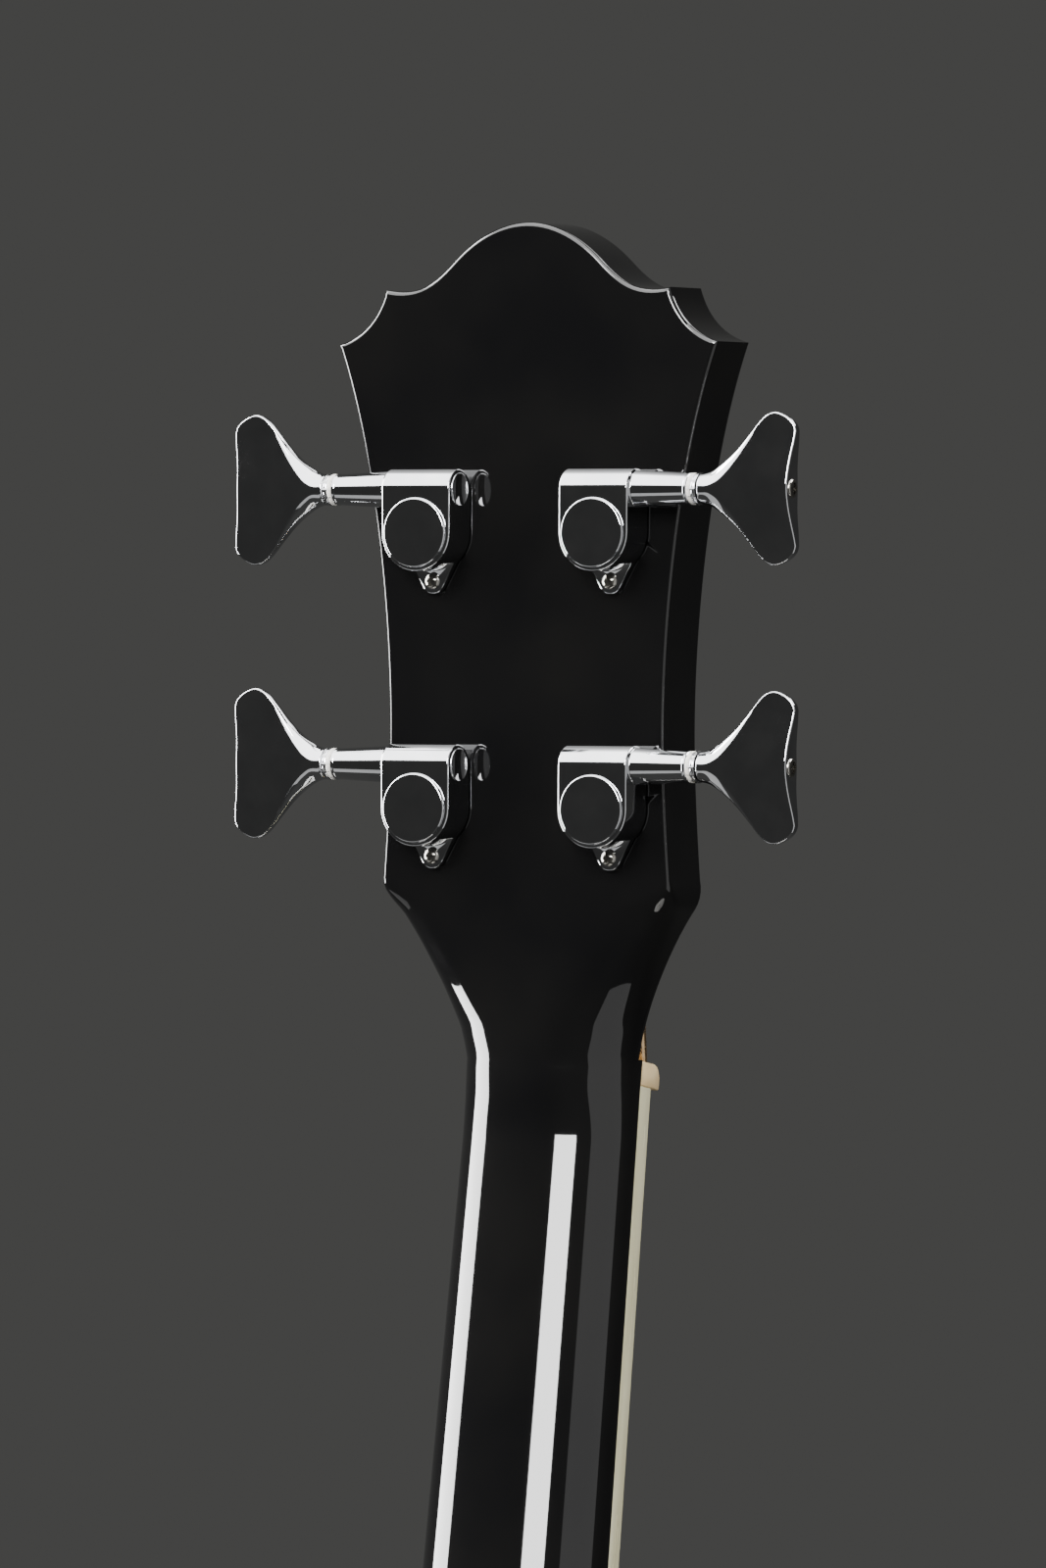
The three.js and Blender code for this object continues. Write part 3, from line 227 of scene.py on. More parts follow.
def joined(name, *things):
    """One object from several meshes."""
    bm = bmesh.new()
    for thing in things:
        bm.from_mesh(thing.data)
    mesh = bpy.data.meshes.new(name)
    bm.to_mesh(mesh)
    bm.free()
    for thing in things:
        data = thing.data
        bpy.data.objects.remove(thing)
        bpy.data.meshes.remove(data)
    whole = bpy.data.objects.new(name, mesh)
    bpy.context.scene.collection.objects.link(whole)
    return whole


def prism(name, outline, low, high, place, angle=40):
    """An outline of pairs carried from one height to another, placed by (first, second, height)."""
    return build_mesh(name, *loft([[place(a, b, h) for a, b in outline] for h in (low, high)]), angle)


def spun(name, profile, place, steps=48, angle=40):
    return build_mesh(name, *turned(profile, steps, place), angle, weld=WELD)


def rod_z(name, profile, x, y, z, steps=64, angle=40):
    """A turned form about a line along Z, from (radius, height) pairs."""
    return spun(name, profile, lambda a, h, b: (x + a, y + b, z + h), steps, angle)


def box_mesh(name, x0, x1, y0, y1, z0, z1, place=plain):
    corners = [place(x, y, z) for x in (x0, x1) for y in (y0, y1) for z in (z0, z1)]
    faces = [(0, 1, 3, 2), (4, 6, 7, 5), (0, 4, 5, 1), (2, 3, 7, 6), (0, 2, 6, 4), (1, 5, 7, 3)]
    return build_mesh(name, corners, faces)


def finish_piece(thing, material, *nodes, body="root", sharp=None):
    """Gives a piece its material and body, and hides the CAD nodes that it stands for."""
    if sharp:
        shade(thing, sharp)
    thing.data.materials.clear()
    thing.data.materials.append(MATERIALS[material])
    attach(thing, body)
    if nodes:
        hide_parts(*nodes)
    return thing


def cubic(a, b, c, d, t):
    s = 1 - t
    return tuple(s ** 3 * w + 3 * s * s * t * x + 3 * s * t * t * y + t ** 3 * z
                 for w, x, y, z in zip(a, b, c, d))


def smooth_share(t):
    t = min(max(t, 0), 1)
    return t * t * (3 - 2 * t)


# Materials
COLOUR_STOPS = (0.35, 0.68)
COLOUR_DETAIL = 6
GLOSS_DETAIL = 4
GLOSS_FINER = 2.3
RELIEF_DETAIL = 3
EVEN = (1, 1, 1)


def node_material(name, colours, grain, roughness, roughness_spread, bump, bump_scale, stretch=EVEN,
                  shader=None):
    """Noise between two colours, a second noise for roughness, and a third for a fine bump."""
    made = bpy.data.materials.new(name)
    made.use_nodes = True
    nodes, links = made.node_tree.nodes, made.node_tree.links
    principled = nodes["Principled BSDF"]
    place = nodes.new("ShaderNodeTexCoord")
    mapping = nodes.new("ShaderNodeMapping")
    mapping.inputs["Scale"].default_value = stretch
    links.new(place.outputs["Object"], mapping.inputs["Vector"])

    def noise(scale, levels):
        texture = nodes.new("ShaderNodeTexNoise")
        texture.inputs["Scale"].default_value = scale
        texture.inputs["Detail"].default_value = levels
        links.new(mapping.outputs["Vector"], texture.inputs["Vector"])
        return texture.outputs["Fac"]

    ramp = nodes.new("ShaderNodeValToRGB")
    for stop, at, colour in zip(ramp.color_ramp.elements, COLOUR_STOPS, colours):
        stop.position = at
        stop.color = (*colour, 1)
    links.new(noise(grain, COLOUR_DETAIL), ramp.inputs["Fac"])
    links.new(ramp.outputs["Color"], principled.inputs["Base Color"])
    spread = nodes.new("ShaderNodeMapRange")
    spread.inputs["To Min"].default_value = max(roughness - roughness_spread, 0.0)
    spread.inputs["To Max"].default_value = roughness + roughness_spread
    links.new(noise(grain * GLOSS_FINER, GLOSS_DETAIL), spread.inputs["Value"])
    links.new(spread.outputs["Result"], principled.inputs["Roughness"])
    if bump:
        relief = nodes.new("ShaderNodeBump")
        relief.inputs["Strength"].default_value = 1
        relief.inputs["Distance"].default_value = bump
        links.new(noise(bump_scale, RELIEF_DETAIL), relief.inputs["Height"])
        links.new(relief.outputs["Normal"], principled.inputs["Normal"])
    for socket, value in (shader or {}).items():
        principled.inputs[socket].default_value = value
    return made


METAL = {"Metallic": 1.0}
ROSEWOOD = (((0.022, 0.011, 0.007), (0.085, 0.042, 0.022)), 220, 0.42, 0.1, 0.00004, 1400)
# Two colours, grain, roughness and its spread, then the bump's depth and grain, the stretch and the rest
SURFACES = {
    # Gloss lacquer: near black, with faint cloudiness and the slight unevenness of a buffed coat
    "lacquer": ("black_lacquer", ((0.0025, 0.0025, 0.0027), (0.0039, 0.0038, 0.0037)), 35, 0.045, 0.02,
                0.0000015, 90, EVEN, {"Coat Weight": 0.6, "Coat Roughness": 0.02, "IOR": 1.5}),
    "chrome": ("polished_chrome", ((0.62, 0.63, 0.65), (0.72, 0.725, 0.74)), 120, 0.045, 0.03,
               0.0000012, 500, EVEN, METAL),
    "screw": ("nickel_screw", ((0.34, 0.33, 0.30), (0.52, 0.50, 0.46)), 900, 0.17, 0.06,
              0.000004, 3000, EVEN, METAL),
    "washer": ("nylon_washer", ((0.62, 0.60, 0.55), (0.72, 0.70, 0.66)), 400, 0.35, 0.1,
               0, 0, EVEN, {"Subsurface Weight": 0.1, "Subsurface Radius": (0.001, 0.001, 0.001)}),
    "ivory": ("ivory_binding", ((0.67, 0.63, 0.40), (0.77, 0.73, 0.51)), 300, 0.26, 0.06,
              0.000002, 700, (1, 1, 0.08), {"Coat Weight": 0.4, "Coat Roughness": 0.08}),
    "bone": ("polished_bone", ((0.58, 0.43, 0.23), (0.67, 0.52, 0.30)), 260, 0.32, 0.08, 0.000006, 900,
             (0.25, 1, 1), {"Subsurface Weight": 0.08, "Subsurface Radius": (0.002, 0.001, 0.0006)}),
    "rosewood": ("rosewood", *ROSEWOOD, (1, 1, 0.05)),
    "bridge_wood": ("bridge_rosewood", *ROSEWOOD, (0.05, 1, 1)),
    "spruce": ("spruce", ((0.55, 0.36, 0.17), (0.72, 0.52, 0.29)), 260, 0.6, 0.1, 0.00005, 900, (1, 1, 0.03)),
    "mahogany": ("mahogany", ((0.17, 0.065, 0.03), (0.32, 0.14, 0.07)), 200, 0.6, 0.1, 0.00005, 1200,
                 (1, 1, 0.04)),
    "bronze": ("phosphor_bronze", ((0.60, 0.39, 0.20), (0.85, 0.61, 0.36)), 700, 0.26, 0.08,
               0.000004, 2500, EVEN, METAL),
    "steel": ("drawn_steel", ((0.42, 0.42, 0.43), (0.62, 0.62, 0.63)), 500, 0.24, 0.08,
              0.000004, 2000, EVEN, METAL),
    "pearl": ("pearl_inlay", ((0.55, 0.60, 0.58), (0.85, 0.83, 0.78)), 380, 0.2, 0.08,
              0, 0, EVEN, {"Coat Weight": 0.5, "Sheen Weight": 0.3}),
    "plastic": ("black_plastic", ((0.012, 0.012, 0.013), (0.022, 0.022, 0.023)), 500, 0.4, 0.08,
                0.00002, 2500),
}
MATERIALS = {key: node_material(*values) for key, values in SURFACES.items()}


# Headstock frame: x across, w from the front face to the back, v up along it
def head(x, w, v):
    c, s = math.cos(HEAD_TILT), math.sin(HEAD_TILT)
    return (x, HEAD_DROP + w * c + v * s, NUT_THICKNESS - w * s + v * c)


def neck_half(z):
    return (NUT_WIDTH + (BOARD_END_WIDTH - NUT_WIDTH) * z / BOARD_END) / 2


HEAD_SHARES = {
    "flare": ((0.468, 0.06), (0.604, 0.136), (0.731, 0.181)),
    "corner": ((0.772, 0.197), (0.756, 0.216)),
    "waist": ((0.739, 0.276), (0.725, 0.342), (0.725, 0.392)),
    "side": ((0.725, 0.533), (0.809, 0.724), (1, 0.856)),
    "cove": ((0.809, 0.869), (0.749, 0.921)),
    "ear": ((0.585, 0.9126), (0.497, 0.9266), (0.39, 0.9538)),
    "crown": ((0.2885, 0.9794), (0.156, 1), (0, 1)),
}


FINE_STEPS = 200
# Spacing of the points along the headstock's outline: for its widths, its side and its front edge
FINE_SPACING = 0.4
SIDE_SPACING = 1.6
FRONT_SPACING = 1.4


def head_curve(start, shares):
    """A function from 0..1 to (x, v) for a quadratic or cubic curve of the headstock's outline."""
    ends = [start] + [(x * HEAD_HALF, v * HEAD_LENGTH) for x, v in shares]
    if len(ends) == 3:
        a, b, c = ends
        lower = tuple(p + (q - p) * 2 / 3 for p, q in zip(a, b))
        upper = tuple(p + (q - p) * 2 / 3 for p, q in zip(c, b))
        ends = [a, lower, upper, c]
    return lambda t: cubic(*ends, t)


def head_side(spacing):
    """The right half of the headstock's outline from the nut to the crown, evenly stepped in each curve."""
    points = [(NUT_WIDTH / 2, 0)]
    for shares in HEAD_SHARES.values():
        curve = head_curve(points[-1], shares)
        fine = [curve(i / FINE_STEPS) for i in range(FINE_STEPS + 1)]
        lengths = [math.dist(p, q) for p, q in zip(fine, fine[1:])]
        steps = max(2, round(sum(lengths) / spacing))
        run, k = 0.0, 1
        for p, length in zip(fine[1:], lengths):
            run += length
            if run >= sum(lengths) * k / steps - TINY:
                points.append(p)
                k += 1
        points[-1] = fine[-1]
    return points


WIDTH_POINTS = head_side(FINE_SPACING)


def width_at(v):
    """Half width of the headstock at a height below its waist."""
    for p, q in zip(WIDTH_POINTS, WIDTH_POINTS[1:]):
        if p[1] <= v <= q[1]:
            return p[0] + (q[0] - p[0]) * (v - p[1]) / max(q[1] - p[1], TINY)
    return WIDTH_POINTS[-1][0]


# Neck and headstock in one skin
EDGE_ROUND = 1.1
PLATE_SEAT = HEADPLATE + SNUG
TURN_STEPS = 18
TURN_ANGLES = [math.pi / 4 * (1 - math.cos(math.pi * k / TURN_STEPS)) for k in range(TURN_STEPS + 1)]
FLAT_STEPS = 4
SHAFT_STEPS = 14
BEND_STEPS = 14
FLARE_STEPS = 30
DEEPENING = 1.15
NECK_WELD = 0.004
FRONT_ROUND = 0.6
ROUND_STEPS = 5
# Fullness of the section's superellipse by the height along the headstock
POWERS = ((-21, 2.2), (-10, 2.2), (0, 2.3), (7.8, 2.47), (17.8, 3.44), (27, 4.7), (35.5, 6), (60, 6))
SQUARE_FROM = 34
CORNER_TOP = HEAD_SHARES["corner"][-1][1] * HEAD_LENGTH
HEEL_LENGTH = 62
HEEL_CAP = 3
HEEL_FOOT = 17
HEEL_FOOT_HALF = 14
HEEL_POWER = 0.8
# The two points that pull the heel's curve: depth, and height above the box
HEEL_PULLS = ((NECK_DEPTH_BODY + 0.5, 32), (42, 20))
HEEL_STEPS = 22
CORNER_SHARE = 0.36
DEPTH_NECK, DEPTH_TAIL = 84, 104
BACK_ARCH = 8
HEEL_DEPTH = DEPTH_NECK + BACK_ARCH - HEEL_CAP - SEAT_GAP


def half_section(half, depth, power, front=0.0, square=0.0):
    """Right half of a section, front to back centre, as (x, depth) pairs at fixed normal angles.
    It goes from a superellipse at square 0 to a rectangle with rounded back corners at 1."""
    low = min(front / depth, 1)
    start = (half * (1 - low ** power) ** (1 / power), front)
    rounded, boxed = [], []
    for angle in TURN_ANGLES:
        if angle < TINY:
            x, y = half, 0.0
        elif math.pi / 2 - angle < TINY:
            x, y = 0.0, depth
        else:
            ratio = (math.tan(angle) * depth / half) ** (power / (2 * (power - 1)))
            c = 1 / math.sqrt(1 + ratio * ratio)
            x, y = half * c ** (2 / power), depth * (ratio * c) ** (2 / power)
        rounded.append((x, y) if y > front else start)
        boxed.append((half - EDGE_ROUND * (1 - math.cos(angle)),
                      depth - EDGE_ROUND * (1 - math.sin(angle))))
    for k in range(1, FLAT_STEPS + 1):
        rounded.append((0.0, depth))
        boxed.append(((half - EDGE_ROUND) * (1 - k / FLAT_STEPS), depth))
    points = [(start[0] + (half - start[0]) * square, front)]
    for p, q in zip(rounded, boxed):
        points.append((p[0] + (q[0] - p[0]) * square, p[1] + (q[1] - p[1]) * square))
    return points


def whole_section(points, place):
    return [place(x, y) for x, y in points] + [place(-x, y) for x, y in reversed(points[:-1])]


def between(pairs, at):
    for (x0, y0), (x1, y1) in zip(pairs, pairs[1:]):
        if at <= x1:
            return y0 + (y1 - y0) * max(at - x0, 0) / (x1 - x0)
    return pairs[-1][1]


def heel_half(y):
    return HEEL_FOOT_HALF + (neck_half(BODY_TOP) - HEEL_FOOT_HALF) * (1 - y / HEEL_DEPTH) ** HEEL_POWER


def heel_rings():
    """Rings that fan from across the neck to the heel's foot, each from its base to the heel's back."""
    rings = []
    start = (NECK_DEPTH_BODY, BODY_TOP + HEEL_LENGTH)
    pulls = [(y, BODY_TOP + z) for y, z in HEEL_PULLS]
    path = (start, *pulls, (HEEL_DEPTH, BODY_TOP + HEEL_FOOT))
    for i in range(HEEL_STEPS, -1, -1):
        s = i / HEEL_STEPS
        y, z = cubic(*path, s)
        if s < CORNER_SHARE:
            base = (0.0, BODY_TOP + HEEL_LENGTH * (1 - s / CORNER_SHARE))
            half = neck_half(base[1])
        else:
            base = (HEEL_DEPTH * (s - CORNER_SHARE) / (1 - CORNER_SHARE), BODY_TOP)
            half = heel_half(base[0])
        dy, dz = y - base[0], z - base[1]
        depth = math.hypot(dy, dz)
        power = NECK_POWER + (2 - NECK_POWER) * s

        def place(x, d, base=base, dy=dy / depth, dz=dz / depth):
            return (x, base[0] + d * dy, base[1] + d * dz)
        rings.append(whole_section(half_section(half, depth, power), place))
    return rings


def neck_rings():
    rings = heel_rings()
    low = BODY_TOP + HEEL_LENGTH
    for i in range(1, SHAFT_STEPS):
        z = low + (-NECK_BLEND - low) * i / SHAFT_STEPS
        share = (z + NECK_BLEND) / (BODY_TOP + NECK_BLEND)
        depth = NECK_DEPTH_NUT + (NECK_DEPTH_BODY - NECK_DEPTH_NUT) * min(share * DEEPENING, 1)
        rings.append(whole_section(half_section(neck_half(z), depth, NECK_POWER),
                                   lambda x, d, z=z: (x, d, z)))
    foot = head(0, -HEAD_DROP, 0)
    for i in range(BEND_STEPS + 1):
        z = -NECK_BLEND + (foot[2] + NECK_BLEND) * i / BEND_STEPS
        share = smooth_share(i / BEND_STEPS)
        angle = HEAD_TILT * share
        depth = NECK_DEPTH_NUT + (HEAD_THICKNESS + HEAD_DROP - NECK_DEPTH_NUT) * share
        half = neck_half(min(z, 0))
        section = half_section(half, depth, between(POWERS, z - foot[2]))
        rings.append(whole_section(section, lambda x, d, z=z, a=angle, t=share: (
            x, foot[1] * t + d * math.cos(a), z - d * math.sin(a))))
    for i in range(FLARE_STEPS + 1):
        v = CORNER_TOP * i / FLARE_STEPS
        square = smooth_share((v - SQUARE_FROM) / (CORNER_TOP - SQUARE_FROM))
        section = half_section(width_at(v), HEAD_THICKNESS + HEAD_DROP, between(POWERS, v),
                               PLATE_SEAT + HEAD_DROP, square)
        rings.append(whole_section(section, lambda x, d, v=v: head(x, d - HEAD_DROP, v)))
    return rings


def inset(points, distance, closed=True):
    """Points moved to the left of their direction of travel, along the mean of the two edges' normals."""
    moved = []
    count = len(points)
    for i, p in enumerate(points):
        before = points[i - 1] if closed or i else points[0]
        after = points[(i + 1) % count] if closed or i + 1 < count else points[-1]
        back = Vector(p) - Vector(before)
        ahead = Vector(after) - Vector(p)
        back = back.normalized() if back.length else ahead.normalized()
        ahead = ahead.normalized() if ahead.length else back
        normal = Vector((-back.y - ahead.y, back.x + ahead.x)).normalized()
        edge = Vector((-ahead.y, ahead.x))
        q = Vector(p) + normal * distance / normal.dot(edge)
        moved.append((q.x, q.y))
    return moved


def both_sides(right):
    return right + [(-x, v) for x, v in reversed(right[:-1])]


def neck_mesh():
    rings = neck_rings()
    points, faces = loft(rings)
    faces.pop()
    count = len(rings[0])
    last = (len(rings) - 1) * count
    rows = TURN_STEPS + 2
    upper = [p for p in head_side(SIDE_SPACING) if p[1] > CORNER_TOP - TINY]
    outline = both_sides(upper)
    columns = [[last + r for r in range(rows)]]
    columns += [[len(points) + i * rows + r for r in range(rows)] for i in range(len(outline) - 2)]
    columns.append([last + count - 1 - r for r in range(rows)])
    levels = [inset(outline, EDGE_ROUND * (1 - math.cos(a)), False) for a in TURN_ANGLES]
    for i in range(1, len(outline) - 1):
        points.append(head(outline[i][0], PLATE_SEAT, outline[i][1]))
        for level, angle in zip(levels, TURN_ANGLES):
            w = HEAD_THICKNESS - EDGE_ROUND * (1 - math.sin(angle))
            points.append(head(level[i][0], w, level[i][1]))
    for here, there in zip(columns, columns[1:]):
        for r in range(rows - 1):
            faces.append((here[r], there[r], there[r + 1], here[r + 1]))
    middle = [last + r for r in range(rows, count - rows)]
    faces.append(tuple([c[-1] for c in columns] + list(reversed(middle))))
    faces.append(tuple(reversed([c[0] for c in columns])))
    return build_mesh("neck_and_headstock", points, faces, 50, weld=NECK_WELD)


LARGE_FACE_WEIGHT = 70


def post_holes(thing, low, high):
    for side in (-1, 1):
        for share in POST_SHARES:
            v = share * HEAD_LENGTH
            place = lambda x, y, z, s=side, v=v: head(s * POST_SPREAD + x, y, v + z)
            profile = rod(BUSHING_RADIUS + SEAT_GAP, low, high)
            boolean(thing, spun("hole", profile, place, 40))


def weighted(thing):
    """Shading that follows a piece's large faces."""
    modifier(thing, "WEIGHTED_NORMAL", mode="FACE_AREA", weight=LARGE_FACE_WEIGHT, keep_sharp=True)
    return apply_all(thing)


neck = neck_mesh()
post_holes(neck, -OVERRUN, HEAD_THICKNESS + OVERRUN)
weighted(neck)
finish_piece(neck, "lacquer", "neck")


def headplate_mesh():
    outline = both_sides(head_side(FRONT_SPACING))
    rings = [[head(x, HEADPLATE, v) for x, v in outline]]
    for k in range(ROUND_STEPS + 1):
        angle = math.pi / 2 * k / ROUND_STEPS
        level = inset(outline, FRONT_ROUND * (1 - math.cos(angle)))
        rings.append([head(x, FRONT_ROUND * (1 - math.sin(angle)), v) for x, v in level])
    return build_mesh("headstock_face", *loft(rings), 50)


headplate = headplate_mesh()
post_holes(headplate, -OVERRUN, OVERRUN)
weighted(headplate)
finish_piece(headplate, "lacquer", "headplate")

# Strings, saddle and bridge
STRINGS = ("e", "a", "d", "g")
STRING_SHARES = (-0.778, -0.258, 0.258, 0.778)
STRING_DIAMETERS = (2.6, 2.0, 1.65, 1.15)
STRING_NUT_HEIGHT = 8
STRING_SADDLE_HEIGHT = 11.6
SADDLE_THICKNESS = 3.2
SADDLE_SPREAD = 1.63
SADDLE_Z = -SCALE_LENGTH - SADDLE_THICKNESS
SADDLE_FRONT, SADDLE_BACK = SADDLE_Z + SADDLE_THICKNESS / 2, SADDLE_Z - SADDLE_THICKNESS / 2
PIN_Z = SADDLE_Z - 19
PIN_HEAD_RADIUS = 3.9
PIN_RADIUS = 2.7
BRIDGE_FRONT = SADDLE_Z + 11
BRIDGE_HEIGHT = 9
TOP_THICKNESS = 3.2
FRET_WIDTH = 2.4
FRET_HEIGHT = 1.1


def string_x(i):
    return STRING_SHARES[i] * NUT_WIDTH / 2


def saddle_x(i):
    return string_x(i) * SADDLE_SPREAD


# Tuners. Local axes start on the post's axis at the headstock's back: x outward to the key, y out of
# the back, z up the headstock. The bass side is the mirror image.
LOW_SHARE, HIGH_SHARE = POST_SHARES
TUNERS = (("e", -1, LOW_SHARE), ("a", -1, HIGH_SHARE), ("d", 1, HIGH_SHARE), ("g", 1, LOW_SHARE))
TUNER_SEAT = HEAD_THICKNESS + SEAT_GAP


def arc(cx, cy, radius, start, end, steps):
    """Points on an arc, angles in degrees."""
    found = []
    for k in range(steps + 1):
        angle = math.radians(start + (end - start) * k / steps)
        found.append((cx + radius * math.cos(angle), cy + radius * math.sin(angle)))
    return found


def rod_x(name, profile, place, y=WORM_HEIGHT, z=WORM_DISTANCE, steps=40, angle=40):
    """A turned form along the local x axis, from (radius, x) pairs."""
    return spun(name, profile, lambda a, h, b: place(h, y + a, z + b), steps, angle)


def rod_y(name, profile, place=plain, x=0.0, z=0.0, steps=48, angle=40):
    return spun(name, profile, lambda a, h, b: place(x + a, h, z + b), steps, angle)


CASE_ROUND = 0.42
EAR_ROUND = 0.22
# The ear's root: half width and depth, and its corners tucked under the case
EAR_ROOT = (EAR_WIDTH / 2 + 0.5, -5.2)
EAR_TUCK = (EAR_WIDTH / 2 - 1.3, -3.5)
EAR_ARC = (207, 333)
# Shares of a screw head's radius or height: its straight rim, its cross and the cross's depth
SCREW_RIM_SHARE = 0.25
CROSS_SHARES = (0.62, 0.16)
CROSS_DEPTH_SHARE = 0.9
SCREW_FOOT = 0.3
CROSS_OVER = 1
# Profiles in (radius, height) pairs: the sleeve's foot at the case and its mouth, and the worm's plug
SLEEVE_FOOT = ((0, -0.9), (SLEEVE_BASE + 0.1, -0.9), (SLEEVE_BASE + 0.1, 0), (SLEEVE_BASE, 0.5))
SLEEVE_MOUTH = ((SLEEVE_TIP, -0.9), (SLEEVE_TIP + 0.05, -0.8), (COLLAR_RADIUS, -0.65), (COLLAR_RADIUS, -0.15),
                (COLLAR_RADIUS - 0.15, 0), (0, 0))
PLUG = ((0, 0.5), (4, 0.5), (4, -0.1), (3.92, -0.2), (3.8, -0.23), (3.68, -0.18), (3.6, -0.1), (0, -0.1))
CHAMBER_RADIUS = 7.85
CHAMBER_DEPTH = 8.6
BORE_RADIUS = 4.05
END_WALL = 1.25
WAY_RADIUS = 2.7
EAR_SCREW = (1.9, 1.15)
KEY_SCREW = (2.2, 0.7)
BUTTON_SCREW = (2.8, 0.75)


def housing_shell(place):
    """The cast case: round below, with a barrel across its top that is flush with its flat back."""
    r, top = HOUSING_RADIUS, HOUSING_HEIGHT
    bottom = arc(0, 0, r, 180, 360, 40)
    crown = arc(0, 0, 1, 0, 180, 24)[1:-1]
    points, faces = [], []
    for y in (0, top):
        points += [(x, y, z) for x, z in bottom]
    count = len(bottom)
    for x in (-r, r):
        points.append((x, top, WORM_DISTANCE))
        points += [(x, WORM_HEIGHT + WORM_HEIGHT * c, WORM_DISTANCE + BARREL_RADIUS * s) for c, s in crown]
        points.append((x, 0, WORM_DISTANCE))
    side = len(crown) + 2
    left, right = 2 * count, 2 * count + side
    for k in range(count - 1):
        faces.append((k, k + 1, count + k + 1, count + k))
    for k in range(side - 1):
        faces.append((left + k, left + k + 1, right + k + 1, right + k))
    faces.append(tuple(range(count, 2 * count)) + (right, left))
    faces.append(tuple(range(count)) + (right + side - 1, left + side - 1))
    faces.append((0, count) + tuple(left + k for k in range(side)))
    faces.append((count - 1, 2 * count - 1) + tuple(right + k for k in range(side)))
    shell = build_mesh("housing", [place(*p) for p in points], faces)
    return bevelled(shell, CASE_ROUND)


def ear_plate(place):
    """The screw ear under the case: straight flanks and a round tip."""
    tip = EAR_TIP_RADIUS - EAR_REACH
    side, low = EAR_ROOT
    tuck, high = EAR_TUCK
    outline = [(-side, low)] + arc(0, tip, EAR_TIP_RADIUS, *EAR_ARC, 16)
    outline += [(side, low), (tuck, high), (-tuck, high)]
    ear = prism("ear", outline, 0, EAR_THICKNESS, lambda x, z, y: place(x, y, z))
    return bevelled(ear, EAR_ROUND, segments=3)


def cross_screw(name, size, place, body="root"):
    """A domed screw head with a cross recess, out along the local y from zero."""
    radius, height = size
    rim = SCREW_RIM_SHARE
    profile = [(0, -SCREW_FOOT), (radius, -SCREW_FOOT), (radius, height * rim)]
    profile += [(radius * cos_of(a), height * (rim + (1 - rim) * sin_of(a))) for a in (15, 30, 45, 60, 75)]
    profile.append((0, height))
    screw = rod_y(name, profile, place, steps=36, angle=50)
    bar, slot = (radius * share for share in CROSS_SHARES)
    low = height * (1 - CROSS_DEPTH_SHARE)
    for dx, dz in ((bar, slot), (slot, bar)):
        boolean(screw, box_mesh("slot", -dx, dx, low, height + CROSS_OVER, -dz, dz, place))
    finish_piece(screw, "screw", body=body, sharp=35)


CAP_SHARES = ((0, 1), (0.93, 1), (0.95, 0.985), (0.967, 0.93), (0.982, 0.82), (0.993, 0.62), (1, 0.3),
              (1, -0.4), (0, -0.4))


def housing(name, place):
    shell = housing_shell(place)
    sleeve = lifted(SLEEVE_FOOT, HOUSING_RADIUS) + lifted(SLEEVE_MOUTH, SLEEVE_END)
    boolean(shell, rod_x("sleeve", sleeve, place, steps=64), "UNION")
    boolean(shell, ear_plate(place), "UNION")
    boolean(shell, rod_y("chamber", rod(CHAMBER_RADIUS, -OVERRUN, CHAMBER_DEPTH), place))
    wall = HOUSING_RADIUS - END_WALL
    boolean(shell, rod_x("bore", rod(BORE_RADIUS, -wall, wall), place))
    boolean(shell, rod_x("way", rod(WAY_RADIUS, 0, SLEEVE_END + OVERRUN), place))
    shell.name = "housing_shell_" + name
    weighted(shell)
    finish_piece(shell, "chrome", "housing_" + name)
    cap = [(r * CAP_RADIUS, HOUSING_HEIGHT + h * CAP_HEIGHT) for r, h in CAP_SHARES]
    finish_piece(rod_y("gear_cap_" + name, cap, place, steps=96, angle=60), "chrome")
    plug = rod_x("worm_plug_" + name, lifted(PLUG, -HOUSING_RADIUS), place, steps=64, angle=60)
    finish_piece(plug, "chrome")
    cross_screw("ear_screw_" + name, EAR_SCREW,
                lambda x, y, z: place(x, EAR_THICKNESS + y, EAR_TIP_RADIUS - EAR_REACH + z))


# Key: (distance from the collar, half height) along its upper edge, then its outer end
KEY_SIDE = ((0, 3.65), (1.2, 3.8), (2.9, 4.4), (5.8, 6), (8, 7.6), (10.1, 9.6), (12, 11.8), (13.6, 13.7),
            (15.2, 15.5), (16.7, 16.9), (18.3, 17.8), (20, 18), (22, 17.3), (23.7, 16.2), (24.8, 14.9),
            (25.2, 13.5))
KEY_END = ((25.2, 13.5), (24.9, 11), (24.4, 8), (24, 5), (23.8, 2.2), (23.75, 0))
KEY_ROUND = 0.4
KEY_MIDDLE = 3.1
KEY_ROOT = 3.65
KEY_SHOULDER = 3.4
KEY_TIP = 1.1
KEY_BLEND = 8
# The ridge across the key: how round its top is, how far it reaches and how full it is
RIDGE_TOP = 1.4
RIDGE_REACH = 13.5
RIDGE_FULLNESS = 1.1
# The shoulders by the collar: where they fade from and over, their slope, fall and least size
SHOULDER_FROM = 3
SHOULDER_FADE = 15
SHOULDER_SLOPE = 0.75
SHOULDER_FALL = 0.28
SHOULDER_LEAST = 0.05
SIDE_STEPS = 44
END_STEPS = 12
ROOT_STEPS = 24
ROUNDS = [math.pi / 2 * k / 4 for k in range(5)]
KEY_BORE = 2.3
KEY_BORE_DEPTH = 12
KEY_WELD = 0.003
PATCH_STEPS = 12


